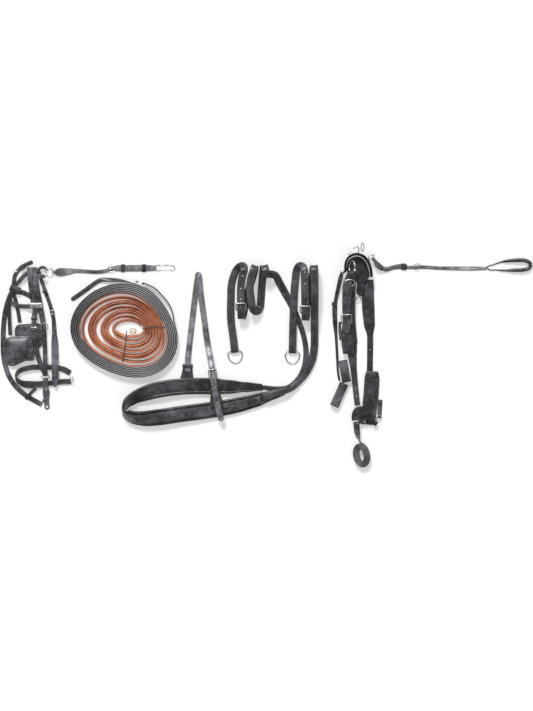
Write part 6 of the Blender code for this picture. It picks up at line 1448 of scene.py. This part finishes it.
padBase = levelHeight(saddlePlan, 1) - saddle["leather"] / 2
saddlePad = panel("saddlePad", padOutline, padBase, saddle["padThick"], "blackLeather", node="saddle_pad",
                  groove=0.84, rim=0.0014, pad=0.0025)
endOutline = evenly(smoothRoute(atLift(saddlePlan, saddle["girthEndPx"], 0), closed=True), 72)
endBase = levelHeight(saddlePlan, saddle["girthEndLevel"]) - saddle["leather"] / 2
panel("girthEnd", endOutline, endBase, saddle["leather"], "blackLeather", node="girth_end", groove=0.88)

girthBase = levelHeight(saddlePlan, 1) + (saddle["girthPad"] - saddle["leather"]) / 2
girthRoute = smoothRoute(atLift(saddlePlan, saddle["girthPadPx"], girthBase))
girthShares = np.interp(walked(girthRoute), np.linspace(0, walked(girthRoute)[-1], len(saddle["girthShares"])),
                        saddle["girthShares"])
girthFlat = np.column_stack([girthRoute[:, :3], girthShares])
bandPiece("girth_pad", girthFlat, acrossOf(headingsOf(girthFlat)), saddle["girthWidth"], saddle["girthPad"],
          "blackLeather")

terretTop = levelHeight(saddlePlan, 8.6) + saddle["leather"] / 2 + saddle["terretWire"] / 2 + gap
terretLean = np.array([math.cos(saddle["terretLean"]), 0, math.sin(saddle["terretLean"])])
terretCentre = (np.array([*spot(saddlePlan, saddle["terretPx"]), 0])
                + [0, 0, terretTop + saddle["terretHalf"] * math.sin(saddle["terretLean"])])
wirePiece("nearTerret", ovalLoop(terretCentre, (0, saddle["terretHalf"], 0), terretLean * saddle["terretHalf"]),
          saddle["terretWire"] / 2, "nickelPlate", across=np.cross(terretLean, (0, 1, 0)), closed=True,
          node="near_terret")
hookRoute = smoothRoute(atLift(saddlePlan, saddle["hookPx"], saddle["seatWidth"] / 2))
hookRoute = rowsAt(hookRoute, stationsOf(hookRoute, 0.003, math.radians(10)))
wirePiece("bearingHook", hookRoute, saddle["terretWire"] / 2, "nickelPlate", across=(0, 0, 1),
          node="bearing_hook")

tugBars = (spot(saddlePlan, saddle[name]) for name in ("tugBarPx", "tugOuterPx"))
tugBuckle = buckleAt(saddlePlan, *tugBars, saddle["tugBarLevel"], saddle["tugWidth"] * saddle["tugShare"],
                     saddle["tugSpan"])
tugStrapRoute = planRoute(saddlePlan, saddle["tugPx"])
strapPiece("tug_strap", tugStrapRoute, saddle["tugWidth"], saddle["leather"], "wornLeather",
           slots=[billetSlot(tugBuckle, tugStrapRoute)], tips=(True, True))
stitchRows("tugStrapStitches", tugStrapRoute, saddle["tugWidth"], saddle["leather"], start=0.01, stop=0.10)
chapeRoute = np.vstack([planRoute(saddlePlan, saddle["chapePx"]), chapeEnd(tugBuckle, 0.66)])
strapPiece("shaft_tug", chapeRoute, saddle["shaftTugWidth"], saddle["leather"], "blackLeather",
           slots=[chapeSlot(tugBuckle, chapeRoute)])
stitchRows("shaftTugStitches", chapeRoute, saddle["shaftTugWidth"], saddle["leather"], stop=0.07)
buckleFrame("tug_buckle", tugBuckle)
buckleTongue("tug_tongue", tugBuckle)


def bellyRoute():
    # the lead lies flat, then rolls onto its edge and winds inwards as an oval spiral
    half = saddlePlan["pixel"] * np.array(belly["halfPx"]) - saddle["leather"] / 2
    turn = np.linspace(0, belly["turns"] * fullTurn, belly["turns"] * belly["points"] + 1)
    radius = half[:, None] - (saddle["leather"] + belly["apart"]) * turn / fullTurn
    lean = belly["lean"]
    angle = quarterTurn - lean - turn
    x, y = radius[0] * np.cos(angle), radius[1] * np.sin(angle)
    flat = np.column_stack([x * math.cos(lean) - y * math.sin(lean), x * math.sin(lean) + y * math.cos(lean)])
    flat = flat + spot(saddlePlan, belly["coilPx"])
    coil = np.column_stack([flat, np.full(len(flat), saddle["bellyWidth"] / 2), np.ones(len(flat))])
    lead = smoothRoute(np.vstack([planRows(saddlePlan, belly["leadPx"]), coil[:1]]))[:-1]
    route = np.vstack([lead, coil])
    leadShare = np.clip(np.linspace(-belly["flatShare"], 1, len(lead)), 0, 1)
    angle = quarterTurn * np.concatenate([eased(0, 1, leadShare), np.ones(len(coil))])
    return route, rolledSides(headingsOf(route), angle)


bellyLine, bellyAcross = bellyRoute()
strapPiece("belly_strap", bellyLine, saddle["bellyWidth"], saddle["leather"], "wornLeather",
           across=bellyAcross)

for node, (top, low) in zip(("tug_sleeve_upper", "tug_sleeve_lower"), saddle["sleevePx"]):
    # an oval tube of one leather, sewn along its side: its wall is carried round and both rims are rolled
    top, low = spot(saddlePlan, top), spot(saddlePlan, low)
    along = np.array([*unitRows(top - low), 0])
    aside = np.array([-along[1], along[0], 0])
    wall = saddle["sleeveLeather"]
    middle = np.array([*((top + low) / 2), saddle["sleeveSize"][1] / 2 + wall / 2 + gap])
    long = np.linalg.norm(top - low) / 2
    turn = fullTurn * np.arange(48) / 48
    oval = (np.cos(turn)[:, None] * aside * saddle["sleeveSize"][0] / 2
            + np.sin(turn)[:, None] * np.array([0, 0, 1]) * saddle["sleeveSize"][1] / 2)
    normal = unitRows(np.cos(turn)[:, None] * aside * saddle["sleeveSize"][1]
                      + np.sin(turn)[:, None] * np.array([0, 0, 1]) * saddle["sleeveSize"][0])
    ends = np.array([-1, -0.985, -0.9, -0.6, 0, 0.6, 0.9, 0.985, 1])
    waist = 1 - 0.03 * np.cos(ends * math.pi / 2)
    roll = np.array([-0.25, 0.45, 0.5, 0.5, 0.5, 0.5, 0.5, 0.45, -0.25])
    outer = [middle + along * long * e + oval * w + normal * wall * r for e, w, r in zip(ends, waist, roll)]
    inner = [middle + along * long * e + oval * w - normal * wall * 0.5
             for e, w in zip(ends[::-1], waist[::-1])]
    rings = np.array(outer + inner)
    faces = gridFaces(len(rings), 48, closed=True)
    addPiece(camel(node), rings.reshape(-1, 3), [face[::-1] for face in faces], "wornLeather",
             nodeBody[node], node)
sleeveStrap = planRoute(saddlePlan, saddle["sleeveStrapPx"])
strapPiece("sleeve_strap", sleeveStrap, saddle["sleeveStrapWidth"], saddle["leather"], "blackLeather")
girthSpots = rowsAt(girthFlat, np.linspace(0, walked(girthFlat)[-1], len(saddle["girthShares"])))
beside = girthSpots[np.argmin(np.abs(girthSpots[:, 1] - spot(saddlePlan, (0, saddle["ringDownPx"]))[1]))][:3]
ringAway = saddle["girthWidth"] * saddle["girthShares"][-2] / 2 + saddle["ringWire"] / 2 + 2 * gap
ringCentre = beside + [ringAway, 0, 0]
rim = saddle["seatWidth"]
bow("farTerret", saddlePlan, ((361.2, 252.6), (360.1, 250), (359.9, 246.4), (361.2, 243.2), (362.5, 245.6),
                              (362.4, 249.8), (361.4, 252.4)), 0.0034, rim - 0.010)
bow("hookLink", saddlePlan, ((350.9, 252.9), (348.6, 253.1), (347.2, 254.6), (348.6, 256), (351, 255),
                             (351.4, 253.4)), 0.0030, rim - 0.004)
stud("terretKnob", saddlePlan, (353.2, 271.4), 0.0044, high=0.4)
stud("seatKnob", saddlePlan, (341.8, 272.6), 0.0066, high=0.6)
skirtBowPx = ((343.9, 284.6), (344.2, 281.6), (347.2, 280.4), (351.4, 280.6), (353.4, 282.4),
              (352.6, 285.4), (350.8, 287))
bow("skirtBuckle", saddlePlan, skirtBowPx, 0.0030, topAt(saddlePlan, (348.4, 283.6), 0.014))
bow("padRing", saddlePlan, ((355.2, 300.6), (356.2, 297.8), (359.4, 296.6), (360.4, 298.4), (358.6, 300.6),
                            (355.6, 301.2)), 0.0040, levelHeight(saddlePlan, 1))
for name, a, b, wire in (("tugBar", (340.4, 315.6), (349, 314.8), 0.0034),
                         ("girthBar", (351.6, 421.8), (357.4, 420.8), 0.0030),
                         ("girthPin", (363.4, 421.4), (364.8, 424.8), 0.0030),
                         ("bellyBar", (354.2, 441.4), (358, 439.8), 0.0026)):
    middle = (np.array(a) + b) / 2
    bow(name, saddlePlan, (a, middle, b), wire, topAt(saddlePlan, middle, 0.009))
for name, table, width, look in (
        ("sleeveKeeper", ((333.5, 302.4), (333.4, 306.4)), 0.017, "blackLeather"),
        ("sleeveLay", ((333.2, 308), (333.6, 320.4)), 0.013, "wornLeather"),
        ("shaftLoop", ((338.9, 322), (338.8, 331), (339.8, 340.6)), 0.009, "blackLeather"),
        ("girthTab", ((371, 421), (376.2, 424.6)), 0.016, "blackLeather"),
        ("girthLay", ((379.6, 400), (378.6, 418.6)), 0.015, "wornLeather")):
    lift = max(topAt(saddlePlan, place) for place in table)
    rows = np.array([[*spot(saddlePlan, place), lift + 0.0018, 1] for place in table])
    strapPiece(name, smoothRoute(rows), width, 0.003, look, name=name)
dRing("girth_ring", ringCentre, np.array([1, 0]), saddlePlan["pixel"] * saddle["ringHalfPx"],
      saddlePlan["pixel"] * saddle["ringDepthPx"], saddle["ringWire"])
print("saddle and girth made")


# The back strap and crupper

crupper = {
    "strapWidth": 0.019, "leather": 0.0032, "buckleHalf": 0.0105, "buckleDepth": 0.014, "wire": 0.004,
    "dockRadius": 0.0065, "dockPoints": 140,
    "strapPx": ((486.6, 268.4, 0, 0.6), (470, 268.6, 0, 0.7), (457, 268.5, 0, 0.7), (440, 268.2, 0, 0.62),
                (420, 267.2, 0, 0.62), (408, 267.6, 0, 0.62), (400, 266.6, 0, 0.9), (392.5, 267.6, 0, 0.8),
                (384.5, 269.4, 1, 0.8), (377, 265.6, 4.6, 1), (373.6, 260.9, 6.1, 0.55),
                (371.75, 259.1, 6.1, 0.55)),
    "slotPx": (468.5, 268.6), "slotHalfPx": (10, 0.5),
    "dockPx": ((487.2, 267.2), (493, 264.8), (500, 262.4), (508, 261), (518, 260.4), (526, 261),
               (530.2, 264), (529, 268), (523, 270), (514, 270.4), (504, 270.6), (495, 270), (488, 269.2)),
    "dockShares": (0.3, 0.3, 0.4, 0.8, 1, 1, 1, 1, 1, 0.9, 0.5, 0.3, 0.3),
}
backRoute, backBar, backWay = wrapEnd(planRoute(backPlan, crupper["strapPx"]), crupper["wire"],
                                      crupper["leather"])
split = (nearestAt(backRoute, spot(backPlan, crupper["slotPx"])),
         *(backPlan["pixel"] * np.array(crupper["slotHalfPx"])))
# the back strap's look paints a grey, silvery sheen into its colour
strapPiece("back_strap", backRoute, crupper["strapWidth"], crupper["leather"], "sheenPaintedLeather",
           slots=[split])
stitchRows("backStrapStitches", backRoute, crupper["strapWidth"], crupper["leather"], start=0.11, stop=0.24,
           body="back_strap", inset=0.0022)
flatD("back_strap_buckle", backBar, backWay, crupper["buckleHalf"], crupper["buckleDepth"], crupper["wire"],
      crupper["wire"])
dockRows = np.column_stack([atLift(backPlan, crupper["dockPx"], crupper["dockRadius"]),
                            crupper["dockShares"]])
dockRoute = evenly(smoothRoute(dockRows, closed=True), crupper["dockPoints"])
dockRoute[:, 2] = crupper["dockRadius"] * dockRoute[:, 3]
dock = wirePiece("crupperDock", dockRoute[:, :3], crupper["dockRadius"] * dockRoute[:, 3], "blackLeather",
                 across=(0, 0, 1), closed=True, sides=20, node="crupper_dock", body="back_strap")
keeper("backKeeper", backRoute, nearestAt(backRoute, spot(backPlan, (403.2, 267.1))), 0.017, crupper["leather"],
       body="back_strap", long=0.018)
plainBuckle("backSecondBuckle", backPlan, (419.4, 267), (413.6, 266.8), 0.0042, 0.015, body="back_strap")
plateAt("backPlate", backPlan, ((481.4, 269.6), (486.4, 269.6), (486.4, 267), (481.4, 267)), 0.0030, 0.0012,
        body="back_strap")
print("back strap and crupper made")

bpy.context.scene.view_settings.view_transform = "Standard"
